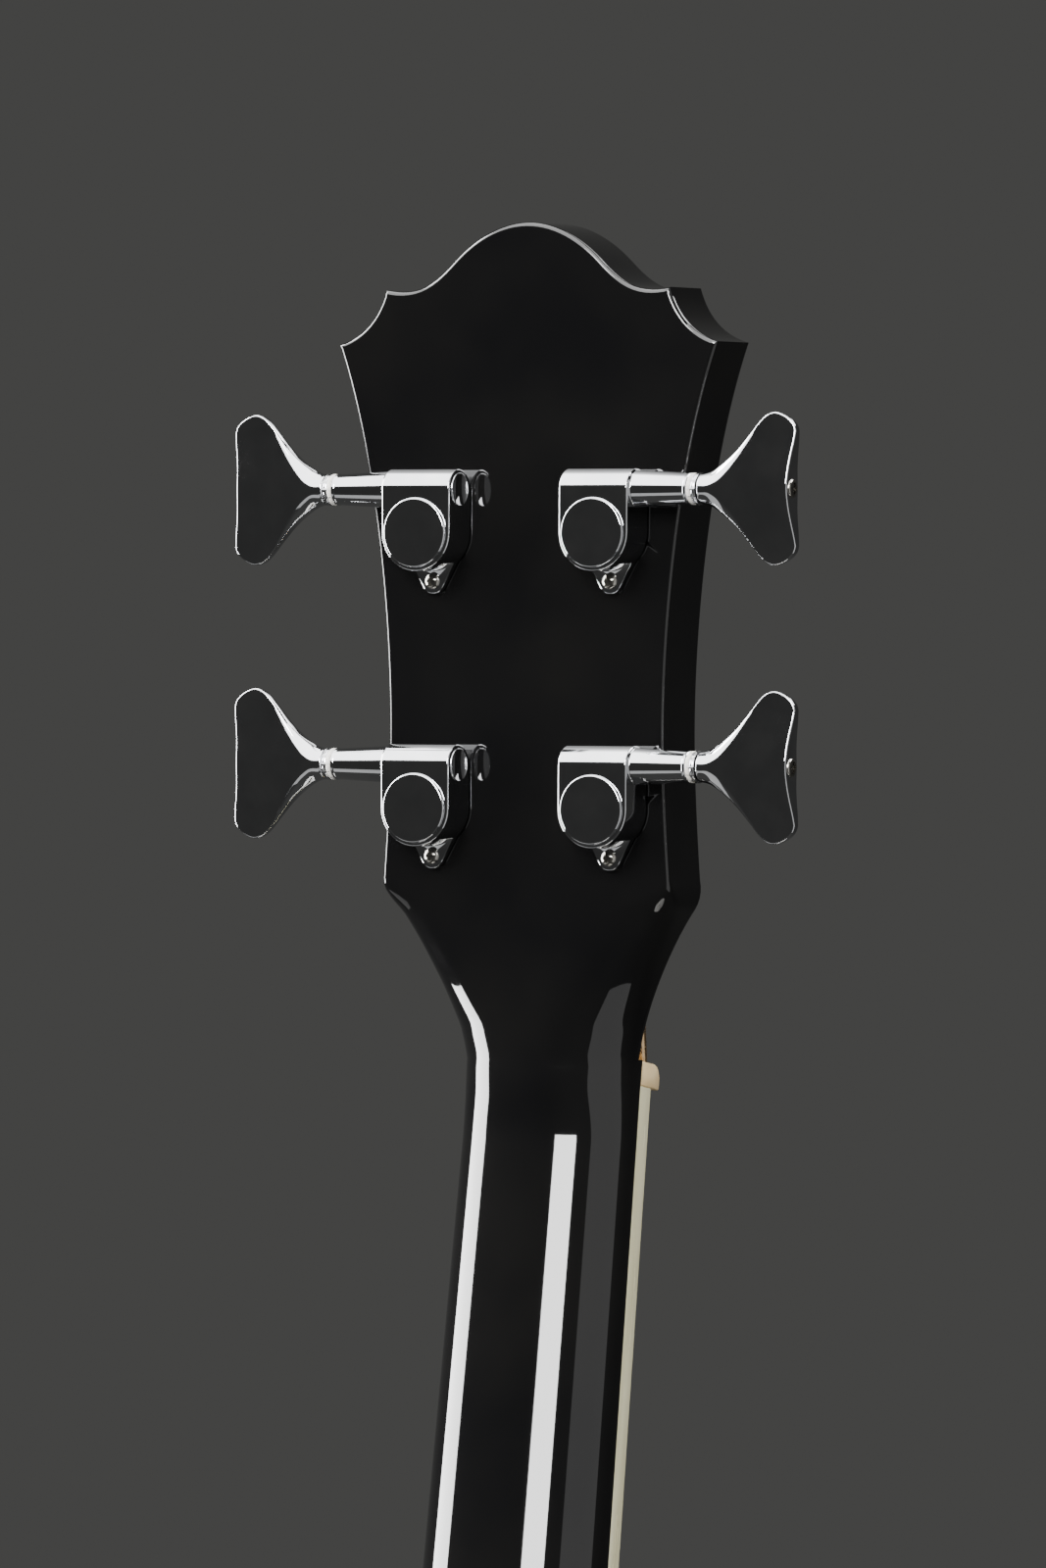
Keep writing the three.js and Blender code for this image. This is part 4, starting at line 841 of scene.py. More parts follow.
def through(points, steps):
    """A smooth curve through points, evenly stepped by length."""
    fine = []
    for i in range(len(points) - 1):
        before = points[i - 1] if i else points[0]
        a, b = points[i], points[i + 1]
        after = points[min(i + 2, len(points) - 1)]
        for k in range(PATCH_STEPS):
            t = k / PATCH_STEPS
            fine.append(tuple(
                0.5 * (2 * q + (r - p) * t + (2 * p - 5 * q + 4 * r - s) * t * t
                       + (3 * q - p - 3 * r + s) * t ** 3)
                for p, q, r, s in zip(before, a, b, after)))
    fine.append(points[-1])
    return even(fine, steps)


def even(fine, steps):
    """A dense polyline stepped evenly by its length."""
    runs = [0.0]
    for p, q in zip(fine, fine[1:]):
        runs.append(runs[-1] + math.dist(p, q))
    found, k = [], 0
    for i in range(steps + 1):
        want = runs[-1] * i / steps
        while k < len(fine) - 2 and runs[k + 1] < want:
            k += 1
        share = min(max((want - runs[k]) / max(runs[k + 1] - runs[k], TINY), 0), 1)
        found.append(tuple(p + (q - p) * share for p, q in zip(fine[k], fine[k + 1])))
    return found


def key_half_thickness(x, z, half):
    """Round at the collar, then a ridge across the middle that thins towards both tips."""
    rise = 1 - min(math.hypot(z, RIDGE_TOP) / RIDGE_REACH, 1)
    ridge = KEY_TIP + (KEY_MIDDLE - KEY_TIP) * rise * RIDGE_FULLNESS
    near = KEY_ROOT * math.sqrt(max(1 - (z / half) ** 2, 0))
    return near + (min(ridge, KEY_MIDDLE) - near) * smooth_share(x / KEY_BLEND)


def key(name, place):
    side = through(KEY_SIDE, SIDE_STEPS)
    end = through(KEY_END, END_STEPS)
    end = end + [(x, -z) for x, z in reversed(end[:-1])]
    root = KEY_SIDE[0][1]
    start = [(0.0, root * (1 - 2 * k / ROOT_STEPS)) for k in range(ROOT_STEPS + 1)]
    across, along = len(end) - 1, len(side) - 1
    # Round the outline: up the lower side, over the end, down the upper side, and back at the collar
    outline = [(x, -z) for x, z in side] + list(reversed(end))[1:] + list(reversed(side))[1:] + start[1:-1]
    count = len(outline)
    points, faces = [], []

    def level(x, z, drop_share):
        half = between(KEY_SIDE, x)
        h = key_half_thickness(x, z, half)
        # Fuller shoulders near the collar, flat faces towards the tips
        shoulder = KEY_SHOULDER * (1 - smooth_share((x - SHOULDER_FROM) / SHOULDER_FADE))
        margin = max(half - abs(z), 0) * SHOULDER_SLOPE
        if shoulder > SHOULDER_LEAST and margin < shoulder:
            h -= SHOULDER_FALL * shoulder * (1 - margin / shoulder) ** 2 * smooth_share(x / SHOULDER_FROM)
        return max(h - min(KEY_ROUND, h) * drop_share, 0.0)

    def band(a, b):
        faces.extend((a + k, a + (k + 1) % count, b + (k + 1) % count, b + k) for k in range(count))

    loops = {}
    for sign in (1, -1):
        for i, angle in enumerate(ROUNDS):
            ring = inset(outline, KEY_ROUND * (1 - math.cos(angle)))
            loops[sign, i] = len(points)
            points += [(x, sign * level(x, z, 1 - math.sin(angle)), z) for x, z in ring]
    for sign in (1, -1):
        for i in range(len(ROUNDS) - 1):
            band(loops[sign, i], loops[sign, i + 1])
    band(loops[1, 0], loops[-1, 0])
    inner = inset(outline, KEY_ROUND)
    low = inner[:along + 1]
    far = inner[along:along + across + 1]
    high = list(reversed(inner[along + across:2 * along + across + 1]))
    near = list(reversed(inner[2 * along + across:] + inner[:1]))
    for sign in (1, -1):
        base = len(points)
        for i in range(along + 1):
            for j in range(across + 1):
                s, t = i / along, j / across
                x, z = (
                    (1 - s) * near[j][n] + s * far[j][n] + (1 - t) * low[i][n] + t * high[i][n]
                    - (1 - s) * (1 - t) * near[0][n] - (1 - s) * t * near[-1][n]
                    - s * (1 - t) * far[0][n] - s * t * far[-1][n] for n in (0, 1))
                points.append((x, sign * level(x, z, 0), z))
        for i in range(along):
            for j in range(across):
                a = base + i * (across + 1) + j
                b = a + across + 1
                faces.append((a, b, b + 1, a + 1))
    foot = SLEEVE_END + COLLAR_LENGTH + 2 * SEAT_GAP
    points = [place(foot + x, WORM_HEIGHT + y, WORM_DISTANCE + z) for x, y, z in points]
    piece = build_mesh("key_blade_" + name, points, faces, 55, weld=KEY_WELD)
    boolean(piece, rod_x("bore", rod(KEY_BORE, foot - OVERRUN, foot + KEY_BORE_DEPTH), place))
    finish_piece(piece, "chrome", "key_" + name, body="tuner_key_" + name, sharp=50)
    end_place = lambda x, y, z: place(foot + KEY_END[-1][0] + y, WORM_HEIGHT + x, WORM_DISTANCE + z)
    cross_screw("key_screw_" + name, KEY_SCREW, end_place, "tuner_key_" + name)


COLLAR_BORE = 2.02
# The washer's and the ring's outer sides: (beyond the collar's radius, beyond the sleeve's end)
WASHER_SIDE = ((-0.1, -0.25), (-0.02, -0.1), (-0.02, 0.75), (-0.12, 0.9))
RING_SIDE = ((-0.25, 0.92), (-0.08, 1.1), (-0.05, 1.5), (-0.12, 1.85), (-0.3, COLLAR_LENGTH))


def collar(name, place):
    """A nylon washer and the turned collar that the key is drawn up against."""
    start = SLEEVE_END + SEAT_GAP
    parts = (("nylon_washer_", WASHER_SIDE, "washer"), ("collar_ring_", RING_SIDE, "chrome"))
    for part, side, material in parts:
        section = [(COLLAR_BORE, start + side[0][1])] + lifted(side, start, COLLAR_RADIUS)
        section.append((COLLAR_BORE, start + side[-1][1]))
        finish_piece(rod_x(part + name, section, place, steps=56), material, body="tuner_key_" + name)


WHEEL_TEETH = 20
WHEEL_PHASE = 0.75
WHEEL_ROOT = 6.25
WHEEL_TIP = 7.5
WHEEL_PITCH = 7.2
WHEEL_THICKNESS = 5
# One tooth: (share of the pitch, share of the tooth's height), and the wheel's levels
TOOTH_SHARES = ((-0.3, 0), (-0.12, 0.8), (0, 1), (0.12, 0.8), (0.3, 0))
LEVEL_SHARES = (-1, -0.5, 0, 0.5, 1)


def worm_wheel(place):
    """The wheel on the post, its teeth slanted by the worm's lead."""
    lead = math.atan(WHEEL_PITCH / WHEEL_TEETH / (WORM_DISTANCE - WHEEL_PITCH))
    rings = []
    for end in LEVEL_SHARES:
        twist = end * WHEEL_THICKNESS / 2 * math.tan(lead) / WHEEL_PITCH
        ring = []
        for n in range(WHEEL_TEETH):
            for turn, rise in TOOTH_SHARES:
                angle = math.tau * (n + turn + WHEEL_PHASE) / WHEEL_TEETH + twist
                radius = WHEEL_ROOT + rise * (WHEEL_TIP - WHEEL_ROOT)
                ring.append(place(radius * math.sin(angle), WORM_HEIGHT + end * WHEEL_THICKNESS / 2,
                                  radius * math.cos(angle)))
        rings.append(ring)
    return build_mesh("wheel", *loft(rings), 30)


# Heights above the headstock's face: the bushing's top, the post's waist, its slot's floor and its top
BUSHING_TOP = 3.9
WAIST_TOP = 8.0
SLOT_FLOOR = 8.5
POST_TOP = 12.5
SLOT_HALF = 1.6
WINDS = (1.25, 1.75, 2.25, 3.25)
WIND_GAP = 0.05
# The post above the face and down to its foot: (radius, height over the face)
POST_SIDE = ((0, POST_TOP), (POST_RADIUS - 1, POST_TOP), (POST_RADIUS - 0.5, POST_TOP - 0.13),
             (POST_RADIUS - 0.13, POST_TOP - 0.5), (POST_RADIUS, POST_TOP - 1), (POST_RADIUS, 9.6),
             (POST_RADIUS - 0.12, 9), (POST_WAIST + 0.08, 8.3), (POST_WAIST, WAIST_TOP), (POST_WAIST, 4.7),
             (POST_WAIST + 0.12, 4.3), (POST_RADIUS, 3.6), (POST_RADIUS, -7), (4, -7))
POST_FOOT = ((4, 8.3), (0, 8.3))
POST_HOLE = 1.9
POST_HOLE_FLOOR = 3
FACE = -HEAD_THICKNESS - 2 * SEAT_GAP


def departure(i):
    """The angle round the post at which a string leaves it for the nut, and the angle of the post's slot."""
    side, share = TUNERS[i][1:]
    reach = POST_WAIST + WIND_GAP + STRING_DIAMETERS[i] / 2
    away = (string_x(i) - side * POST_SPREAD, -NUT_THICKNESS - share * HEAD_LENGTH)
    tangent = math.atan2(away[1], away[0]) - side * math.acos(reach / math.hypot(*away))
    return tangent, tangent + side * math.tau * WINDS[i]


def post(i, name, side, place):
    profile = [(r, FACE - h) for r, h in POST_SIDE] + list(POST_FOOT)
    piece = rod_y("post", profile, place, steps=64)
    boolean(piece, worm_wheel(place), "UNION")
    angle = departure(i)[1]
    c, s = side * math.cos(angle), math.sin(angle)
    turned_place = lambda x, y, z: place(x * c - z * s, y, x * s + z * c)
    above, reach = FACE - POST_TOP - OVERRUN, POST_RADIUS + OVERRUN
    slot = box_mesh("slot", -reach, reach, above, FACE - SLOT_FLOOR, -SLOT_HALF, SLOT_HALF, turned_place)
    boolean(piece, slot)
    boolean(piece, rod_y("hole", rod(POST_HOLE, above, FACE - POST_HOLE_FLOOR), place))
    piece.name = "string_post_" + name
    weighted(piece)
    finish_piece(piece, "chrome", "post_" + name, body="tuner_post_" + name)


HEXAGON_RADIUS = 9.8
# The cone that rounds the hexagon's corners, and the washer under it
BUSHING_CONE = ((0, -0.2), (8.3, -0.2), (8.3, 0), (9.95, 0.8))
BUSHING_WASHER = ((0, -0.95), (10.2, -0.95), (10.42, -0.85), (10.5, -0.65), (10.5, 0), (0, 0))
WASHER_SEAT = 0.9
BUSHING_BARREL = (FACE - 1, FACE + 9)
BUSHING_GAP = 0.3
BUSHING_BORE = (FACE - 12, FACE + 14)


def bushing(name, place):
    top, seat = FACE - BUSHING_TOP, FACE - WASHER_SEAT
    corners = arc(0, 0, HEXAGON_RADIUS, 0, 300, 5)
    nut_part = prism("hexagon", corners, top, seat, lambda x, z, y: place(x, y, z))
    cone = lifted(BUSHING_CONE, top) + [(BUSHING_CONE[-1][0], seat), (0, seat)]
    boolean(nut_part, rod_y("cone", cone, place), "INTERSECT")
    boolean(nut_part, rod_y("washer", lifted(BUSHING_WASHER, FACE), place, steps=64), "UNION")
    boolean(nut_part, rod_y("barrel", rod(BUSHING_RADIUS, *BUSHING_BARREL), place), "UNION")
    boolean(nut_part, rod_y("bore", rod(POST_RADIUS + BUSHING_GAP, *BUSHING_BORE), place))
    nut_part.name = "post_bushing_" + name
    finish_piece(nut_part, "chrome", "bushing_" + name, sharp=30)


for tuner_index, (tuner_name, tuner_side, tuner_share) in enumerate(TUNERS):
    def tuner_place(x, y, z, side=tuner_side, v=tuner_share * HEAD_LENGTH):
        return head(side * (POST_SPREAD + x), TUNER_SEAT + y, v + z)
    housing(tuner_name, tuner_place)
    collar(tuner_name, tuner_place)
    key(tuner_name, tuner_place)
    post(tuner_index, tuner_name, tuner_side, tuner_place)
    bushing(tuner_name, tuner_place)

# Nut and fingerboard
# The nut's section in (Z, height) pairs: a flat top by the board and a rounded fall to the headstock
NUT_SECTION = ((0, 0), (NUT_THICKNESS, 0), (NUT_THICKNESS, -6.8), (NUT_THICKNESS - 0.35, -7.7),
               (NUT_THICKNESS - 1.1, -8.55), (NUT_THICKNESS - 2.2, -9.2), (NUT_THICKNESS - 3, -9.4),
               (0, -9.4))
NUT_ROUND = 0.45
NUT_SLOT_GAP = 0.12
# A slot's walls lean out by this much over this height, and its tool runs between these two
SLOT_LEAN = (0.35, -6)
SLOT_RUN = (-5, 15)


def nut_bar():
    """The bone nut with its four slots."""
    half = NUT_WIDTH / 2
    bar = bevelled(prism("nut", NUT_SECTION, -half, half, lambda z, y, x: (x, y, z)), NUT_ROUND)
    spread, rise = SLOT_LEAN
    for i, diameter in enumerate(STRING_DIAMETERS):
        reach, x, y = diameter / 2 + NUT_SLOT_GAP, string_x(i), -STRING_NUT_HEIGHT - diameter / 2
        boolean(bar, rod_z("slot", rod(reach, *SLOT_RUN), x, y, 0, 32))
        wide = reach + spread
        flare = [(x - reach, y), (x + reach, y), (x + wide, y + rise), (x - wide, y + rise)]
        boolean(bar, prism("flare", flare, *SLOT_RUN, plain))
    finish_piece(bar, "bone", "nut", sharp=35)


nut_bar()


def board_face(share):
    """The crowned face of the board by the share of its half width."""
    return -BOARD_EDGE - BOARD_CROWN * (1 - share ** 2)


def board_section(z, half, steps=16):
    ring = [(half, 0, z), (-half, 0, z)]
    for i in range(steps + 1):
        x = -half + 2 * half * i / steps
        ring.append((x, board_face(x / half), z))
    return ring


def board_wood():
    end = BOARD_END + BINDING_WIDTH
    inner_half = lambda z: neck_half(z) - BINDING_WIDTH - SNUG
    rings = [board_section(z, inner_half(z)) for z in map(fret_z, range(FRET_COUNT + 1))]
    rings.append(board_section(end + SNUG, inner_half(end)))
    finish_piece(build_mesh("fingerboard_wood", *loft(rings)), "rosewood", "fingerboard")


# A fret's bevelled end: (share of the half length, share of its height), then its even stations
FRET_END_SHARES = ((-1, 0.05), (-0.985, 0.55), (-0.965, 0.9), (-0.945, 1))
FRET_STATIONS = 6
FRET_END_GAP = 0.1
FRET_ROOT = 0.3
FRET_ROOT_SHARE = 0.44
DOT_FRETS = (3, 5, 7, 9, 12, 15, 17, 19)
DOT = ((0, -0.03), (3.15, -0.03), (3.2, 0.05), (3.2, 1), (0, 1))


def fret_wires():
    """Domed frets with bevelled ends, one object."""
    dome = arc(0, 0, 1, 0, 180, 9)
    even_share = -FRET_END_SHARES[-1][0] / FRET_STATIONS
    stations = list(FRET_END_SHARES) + [(k * even_share, 1) for k in range(1 - FRET_STATIONS, FRET_STATIONS)]
    stations += [(-share, rise) for share, rise in reversed(FRET_END_SHARES)]
    root = FRET_WIDTH * FRET_ROOT_SHARE
    wires = []
    for z0 in map(fret_z, range(1, FRET_COUNT + 1)):
        half = neck_half(z0) - BINDING_WIDTH - FRET_END_GAP
        rings = []
        for share, rise in stations:
            x, face = share * half, board_face(share)
            ring = [(x, face - FRET_HEIGHT * rise * s, z0 + FRET_WIDTH / 2 * c) for c, s in dome]
            ring += [(x, face + FRET_ROOT, z0 - root), (x, face + FRET_ROOT, z0 + root)]
            rings.append(ring)
        wires.append(build_mesh("fret", *loft(rings)))
    finish_piece(joined("frets", *wires), "steel", sharp=50)


def face_dots():
    """Plain round markers level with the board."""
    dots = []
    for n in DOT_FRETS:
        z = (fret_z(n) + fret_z(n - 1)) / 2
        quarter = neck_half(z) / 2
        for x in (-quarter, quarter) if n == OCTAVE else (0,):
            face = board_face(x / (neck_half(z) - BINDING_WIDTH))
            dots.append(rod_y("dot", lifted(DOT, face), plain, x, z, 40))
    finish_piece(joined("face_dots", *dots), "pearl", sharp=40)


BINDING_EASE = 0.5
EASE_SHARE = 0.3


def board_corners(end, width):
    """The board's corners at the nut and at its end, drawn in by a width."""
    near, far = neck_half(0) - width, neck_half(end) - width
    return [(-near, 0), (-far, end), (far, end), (near, 0)]


def board_binding():
    """The ivory strip along both sides of the board and across its end, its front edge eased."""
    ease, part = BINDING_EASE, BINDING_EASE * EASE_SHARE
    levels = []
    outer = board_corners(BOARD_END, 0)
    for drop, y in ((0, 0), (0, -BOARD_EDGE + ease), (part, -BOARD_EDGE + part), (ease, -BOARD_EDGE)):
        levels.append([(x - math.copysign(drop, x), y, z + (drop if z else 0)) for x, z in outer])
    inner = board_corners(BOARD_END + BINDING_WIDTH, BINDING_WIDTH)
    levels += [[(x, y, z) for x, z in inner] for y in (-BOARD_EDGE, 0)]
    rings = [[level[k] for level in levels] for k in range(4)]
    finish_piece(build_mesh("fingerboard_edge", *loft(rings)), "ivory", "fingerboard_binding")


board_wood()
fret_wires()
face_dots()
board_binding()


HEEL_CAP_STEPS = 40
HEEL_CAP_ROUND = 0.7


def heel_cap():
    half_circle = arc(0, 0, 1, 0, 180, HEEL_CAP_STEPS)
    outline = [(HEEL_FOOT_HALF * x, BODY_TOP + HEEL_FOOT * z) for x, z in half_circle]
    cap = prism("heel_cap_plate", outline, HEEL_DEPTH + SNUG, HEEL_DEPTH + SEAT_GAP + HEEL_CAP, upright)
    finish_piece(bevelled(cap, HEEL_CAP_ROUND), "ivory", "heel_cap")


heel_cap()


def sweep(name, path, radius_at, sides=10):
    """A tube along points, its section carried without twist."""
    rings, across = [], Vector((1, 0, 0))
    for i, p in enumerate(path):
        along = (Vector(path[min(i + 1, len(path) - 1)]) - Vector(path[max(i - 1, 0)])).normalized()
        across = (across - along * across.dot(along)).normalized()
        up = along.cross(across)
        r = radius_at(i)
        rings.append([tuple(Vector(p) + (across * math.cos(math.tau * k / sides)
                                         + up * math.sin(math.tau * k / sides)) * r) for k in range(sides)])
    return build_mesh(name, *loft(rings), 60)


CORNER_STEPS = 6
# The most of an edge that the rounding of its corner takes
CUT_EDGE_SHARE = 0.45


def rounded_path(points, reach):
    """A polyline with each corner turned into a short quadratic curve."""
    def toward(corner, other):
        edge = other - corner
        return corner + edge.normalized() * min(reach, edge.length * CUT_EDGE_SHARE)

    found = [points[0]]
    for before, p, after in zip(points, points[1:], points[2:]):
        a, b, c = Vector(before), Vector(p), Vector(after)
        start, end = toward(b, a), toward(b, c)
        for k in range(CORNER_STEPS + 1):
            t = k / CORNER_STEPS
            found.append(tuple(start * (1 - t) ** 2 + b * 2 * t * (1 - t) + end * t * t))
    return found + [points[-1]]


WOUND_PITCH = (0.95, 0.85, 0.8, 0.7)
WOUND_DEPTH = (0.1, 0.085, 0.075, 0.06)
# The first turn's gap over the bushing, the last one's over the slot's floor, and the wrap's overlap
FIRST_GAP = 0.35
SLOT_GAP = 0.05
WIND_PAST = 0.03
WIND_STEPS = 150
# The turns that leave the waist stand out by this much over this height
WIND_SPREAD = 0.5
WIND_RISE = 1.2
BALL_DEPTH = 3
STRING_BEND = 1.6
# The free end inside the post: its depth in the hole, its bends, and its reach past the waist
END_DEPTH = 4
END_BEND = 2.2
END_CORNER = 1.4
END_REACH = 0.4
END_POINTS = 24


def wound_string(i):
    """Up from the pin, over saddle and nut, and round the post, with the ridges of its wire wrap."""
    name, side, share = TUNERS[i]
    radius = STRING_DIAMETERS[i] / 2
    v = share * HEAD_LENGTH
    cx = side * POST_SPREAD
    tangent, start = departure(i)
    low, high = BUSHING_TOP + FIRST_GAP + radius, SLOT_FLOOR + SLOT_GAP + radius
    wrapped = lambda k: radius - (WOUND_DEPTH[i] if k % 2 else 0.0)
    path = []
    for k in range(WIND_STEPS + 1):
        turn = (WINDS[i] + WIND_PAST) * (1 - k / WIND_STEPS)
        angle = tangent + side * math.tau * turn
        height = low + (high - low) * min(turn / WINDS[i], 1)
        spread = WIND_SPREAD * smooth_share((height + radius - WAIST_TOP) / WIND_RISE)
        reach = POST_WAIST + WIND_GAP + radius + spread
        path.append(head(cx + reach * math.cos(angle), -height, v + reach * math.sin(angle)))
    nut_y = -STRING_NUT_HEIGHT - radius
    saddle_y = -STRING_SADDLE_HEIGHT - radius
    drop_z = PIN_Z + PIN_HEAD_RADIUS + SEAT_GAP + radius
    x0, x1 = string_x(i), saddle_x(i)
    over_bridge = -BRIDGE_HEIGHT - radius - SEAT_GAP
    tail = [path[-1], (x0, nut_y, NUT_THICKNESS), (x0, nut_y, 0), (x1, saddle_y, SADDLE_FRONT),
            (x1, saddle_y, SADDLE_BACK), (x1, over_bridge, drop_z + radius),
            (x1, -BRIDGE_HEIGHT + radius, drop_z), (x1, TOP_THICKNESS + BALL_DEPTH, drop_z)]
    path = path[:-1] + rounded_path(tail, STRING_BEND)
    length = sum(math.dist(p, q) for p, q in zip(path, path[1:]))
    path = even(path, round(length / WOUND_PITCH[i]) * 2)
    piece = sweep("wound_string_" + name, path, wrapped)
    finish_piece(piece, "bronze", "string_" + name)
    # The free end, from the post's hole through its slot to the wrap, turns with the post
    c, s = math.cos(start), math.sin(start)
    reach = POST_WAIST + END_REACH + radius
    stations = ((0, SLOT_FLOOR - END_DEPTH), (0, high), (END_BEND, high), (reach, high))
    inside = [head(cx + r * c, -h, v + r * s) for r, h in stations]
    end_piece = sweep("string_end_" + name, even(rounded_path(inside, END_CORNER), END_POINTS), wrapped)
    finish_piece(end_piece, "bronze", body="tuner_post_" + name)


for string_index in range(4):
    wound_string(string_index)

# Body
BODY_LENGTH = 520
BODY_TAIL = BODY_TOP - BODY_LENGTH
BODY_BINDING = 2
BODY_BINDING_DEPTH = 6
SIDE_THICKNESS = 2.4
BACK_THICKNESS = 2.8
SOUNDHOLE_Z = BODY_TOP - 149
SOUNDHOLE_RADIUS = 50
QUARTER = 0.55
BOUT_SHARE = 0.42
# Widest and narrowest places of the bouts, and the cutaway's horn, as (half width, share of the length)
UPPER, WAIST, LOWER, HORN = (147, 0.171), (136, 0.421), (200, 0.75), (145, 0.219)
# Half width of the outline's flat at the heel, and the cutaway: (x, depth under the box's top)
HEEL_FLAT = 29
HORN_TIP, CUT_FLOOR, CUT_SIDE = (118, 55), (66, 97), (33, 59)
CUT_SHARE = 0.48


def body_outline(steps=26):
    """The outline of the box, anticlockwise from the bass side of the heel, with its cutaway."""
    z_at = lambda share: BODY_TOP - share * BODY_LENGTH
    points = [(-HEEL_FLAT, BODY_TOP)]

    def curve(a, b, end):
        start = points[-1]
        for k in range(1, steps + 1):
            points.append(cubic(start, a, b, end, k / steps))

    def quarter(x, z, level):
        px, pz = points[-1]
        dx, dz = x - px, z - pz
        a = (px + QUARTER * dx, pz) if level else (px, pz + QUARTER * dz)
        b = (x, z - QUARTER * dz) if level else (x - QUARTER * dx, z)
        curve(a, b, (x, z))

    def bout(x, z):
        px, pz = points[-1]
        reach = BOUT_SHARE * (z - pz)
        curve((px, pz + reach), (x, z - reach), (x, z))

    quarter(-UPPER[0], z_at(UPPER[1]), True)
    bout(-WAIST[0], z_at(WAIST[1]))
    bout(-LOWER[0], z_at(LOWER[1]))
    quarter(0, BODY_TAIL, False)
    quarter(LOWER[0], z_at(LOWER[1]), True)
    bout(WAIST[0], z_at(WAIST[1]))
    bout(HORN[0], z_at(HORN[1]))
    quarter(HORN_TIP[0], BODY_TOP - HORN_TIP[1], False)
    px, pz = points[-1]
    x, z = CUT_FLOOR[0], BODY_TOP - CUT_FLOOR[1]
    reach = CUT_SHARE * (x - px)
    curve((px + reach, pz), (x - reach, z), (x, z))
    quarter(CUT_SIDE[0], BODY_TOP - CUT_SIDE[1], True)
    points.append((HEEL_FLAT, BODY_TOP))
    return points


def back_y(x, z, under=0.0):
    return (DEPTH_NECK - under + (DEPTH_TAIL - DEPTH_NECK) * (BODY_TOP - z) / BODY_LENGTH
            + BACK_ARCH * (1 - (x / LOWER[0]) ** 2))


OUTLINE = body_outline()


def rim(name, rows):
    """A closed wall round the body: each row is (inset, depth function), in order round its section."""
    loops = []
    for distance, depth_at in rows:
        loops.append([(x, depth_at(x, z), z) for x, z in inset(OUTLINE, distance)])
    rings = [[loop[k] for loop in loops] for k in range(len(OUTLINE))]
    return build_mesh(name, *loft(rings, caps=False, closed_path=True), 40)


def flat(y):
    return lambda x, z: y


def back_at(under):
    return lambda x, z: back_y(x, z, under)


def eased(width, depth, ease, face):
    """Rows of a binding strip: its outer corner at the front or the back is rounded."""
    corner = [(ease * (1 - cos_of(a)), face(ease * (1 - sin_of(a)))) for a in (0, 30, 60)]
    return [(0, face(depth)), *corner, (ease, face(0)), (width, face(0)), (width, face(depth))]


BODY_EASE = 1
JACK_DEPTH = 50
JACK_HOLE = 6.1
JACK_HOLE_RUN = 10
# The truss rod's way through the top of the sides: half width, front, back, and depth under the top
ROD_WAY = (3.3, -5, 11.4, 9)


def body_pieces():
    depth = BODY_BINDING_DEPTH
    for face, face_at in (("top", flat), ("back", back_at)):
        strip = rim(f"body_{face}_binding", eased(BODY_BINDING, depth, BODY_EASE, face_at))
        finish_piece(strip, "ivory", face + "_binding")
    front, back = flat(depth + SNUG), back_at(depth + SNUG)
    walls = rim("body_sides", [(0, front), (SIDE_THICKNESS, front), (SIDE_THICKNESS, back), (0, back)])
    hole = rod(JACK_HOLE, -JACK_HOLE_RUN, JACK_HOLE_RUN)
    boolean(walls, rod_z("jack_hole", hole, 0, JACK_DEPTH, BODY_TAIL))
    half, near, far, under = ROD_WAY
    boolean(walls, box_mesh("rod_way", -half, half, near, far, BODY_TOP - under, BODY_TOP + OVERRUN))
    finish_piece(walls, "lacquer", "sides", sharp=35)


# Shares of the outline at which the arched back has its rings
ARCH_SHARES = (1, 0.985, 0.94, 0.87, 0.78, 0.67, 0.55, 0.43, 0.31, 0.2, 0.1, 0.045)


def plate_rings(edge, shares, centre_z, depth_at):
    rings = []
    for share in shares:
        drawn = [(share * x, centre_z + share * (z - centre_z)) for x, z in edge]
        rings.append([(x, depth_at(x, z), z) for x, z in drawn])
    return rings


def back_plate():
    """The arched back, in rings of its outline drawn in to a point on the centreline."""
    edge = inset(OUTLINE, BODY_BINDING + SNUG)
    centre_z = BODY_TOP - WAIST[1] * BODY_LENGTH
    under = plate_rings(edge, ARCH_SHARES[::-1], centre_z, back_at(BACK_THICKNESS))
    over = plate_rings(edge, ARCH_SHARES, centre_z, back_at(0))
    plate = build_mesh("body_back", *loft(under + over), 30)
    finish_piece(plate, "lacquer", "back_plate")


SOUNDHOLE_EDGE = 0.7
SOUNDHOLE_RUN = 10
# Rings of the rosette, from the inside: (inner radius, outer radius, material)
ROSETTE_RINGS = ((57, 58.2, "ivory"), (58.2, 59, "plastic"), (59, 64, "pearl"), (64, 64.8, "plastic"),
                 (64.8, 66, "ivory"))
ROSETTE_DEPTH = 1.2
ROSETTE_GAP = 0.03
ROSETTE_RUN = 3


def ring_profile(inner, outer, low, high):
    return [(inner, low), (outer, low), (outer, high), (inner, high)]


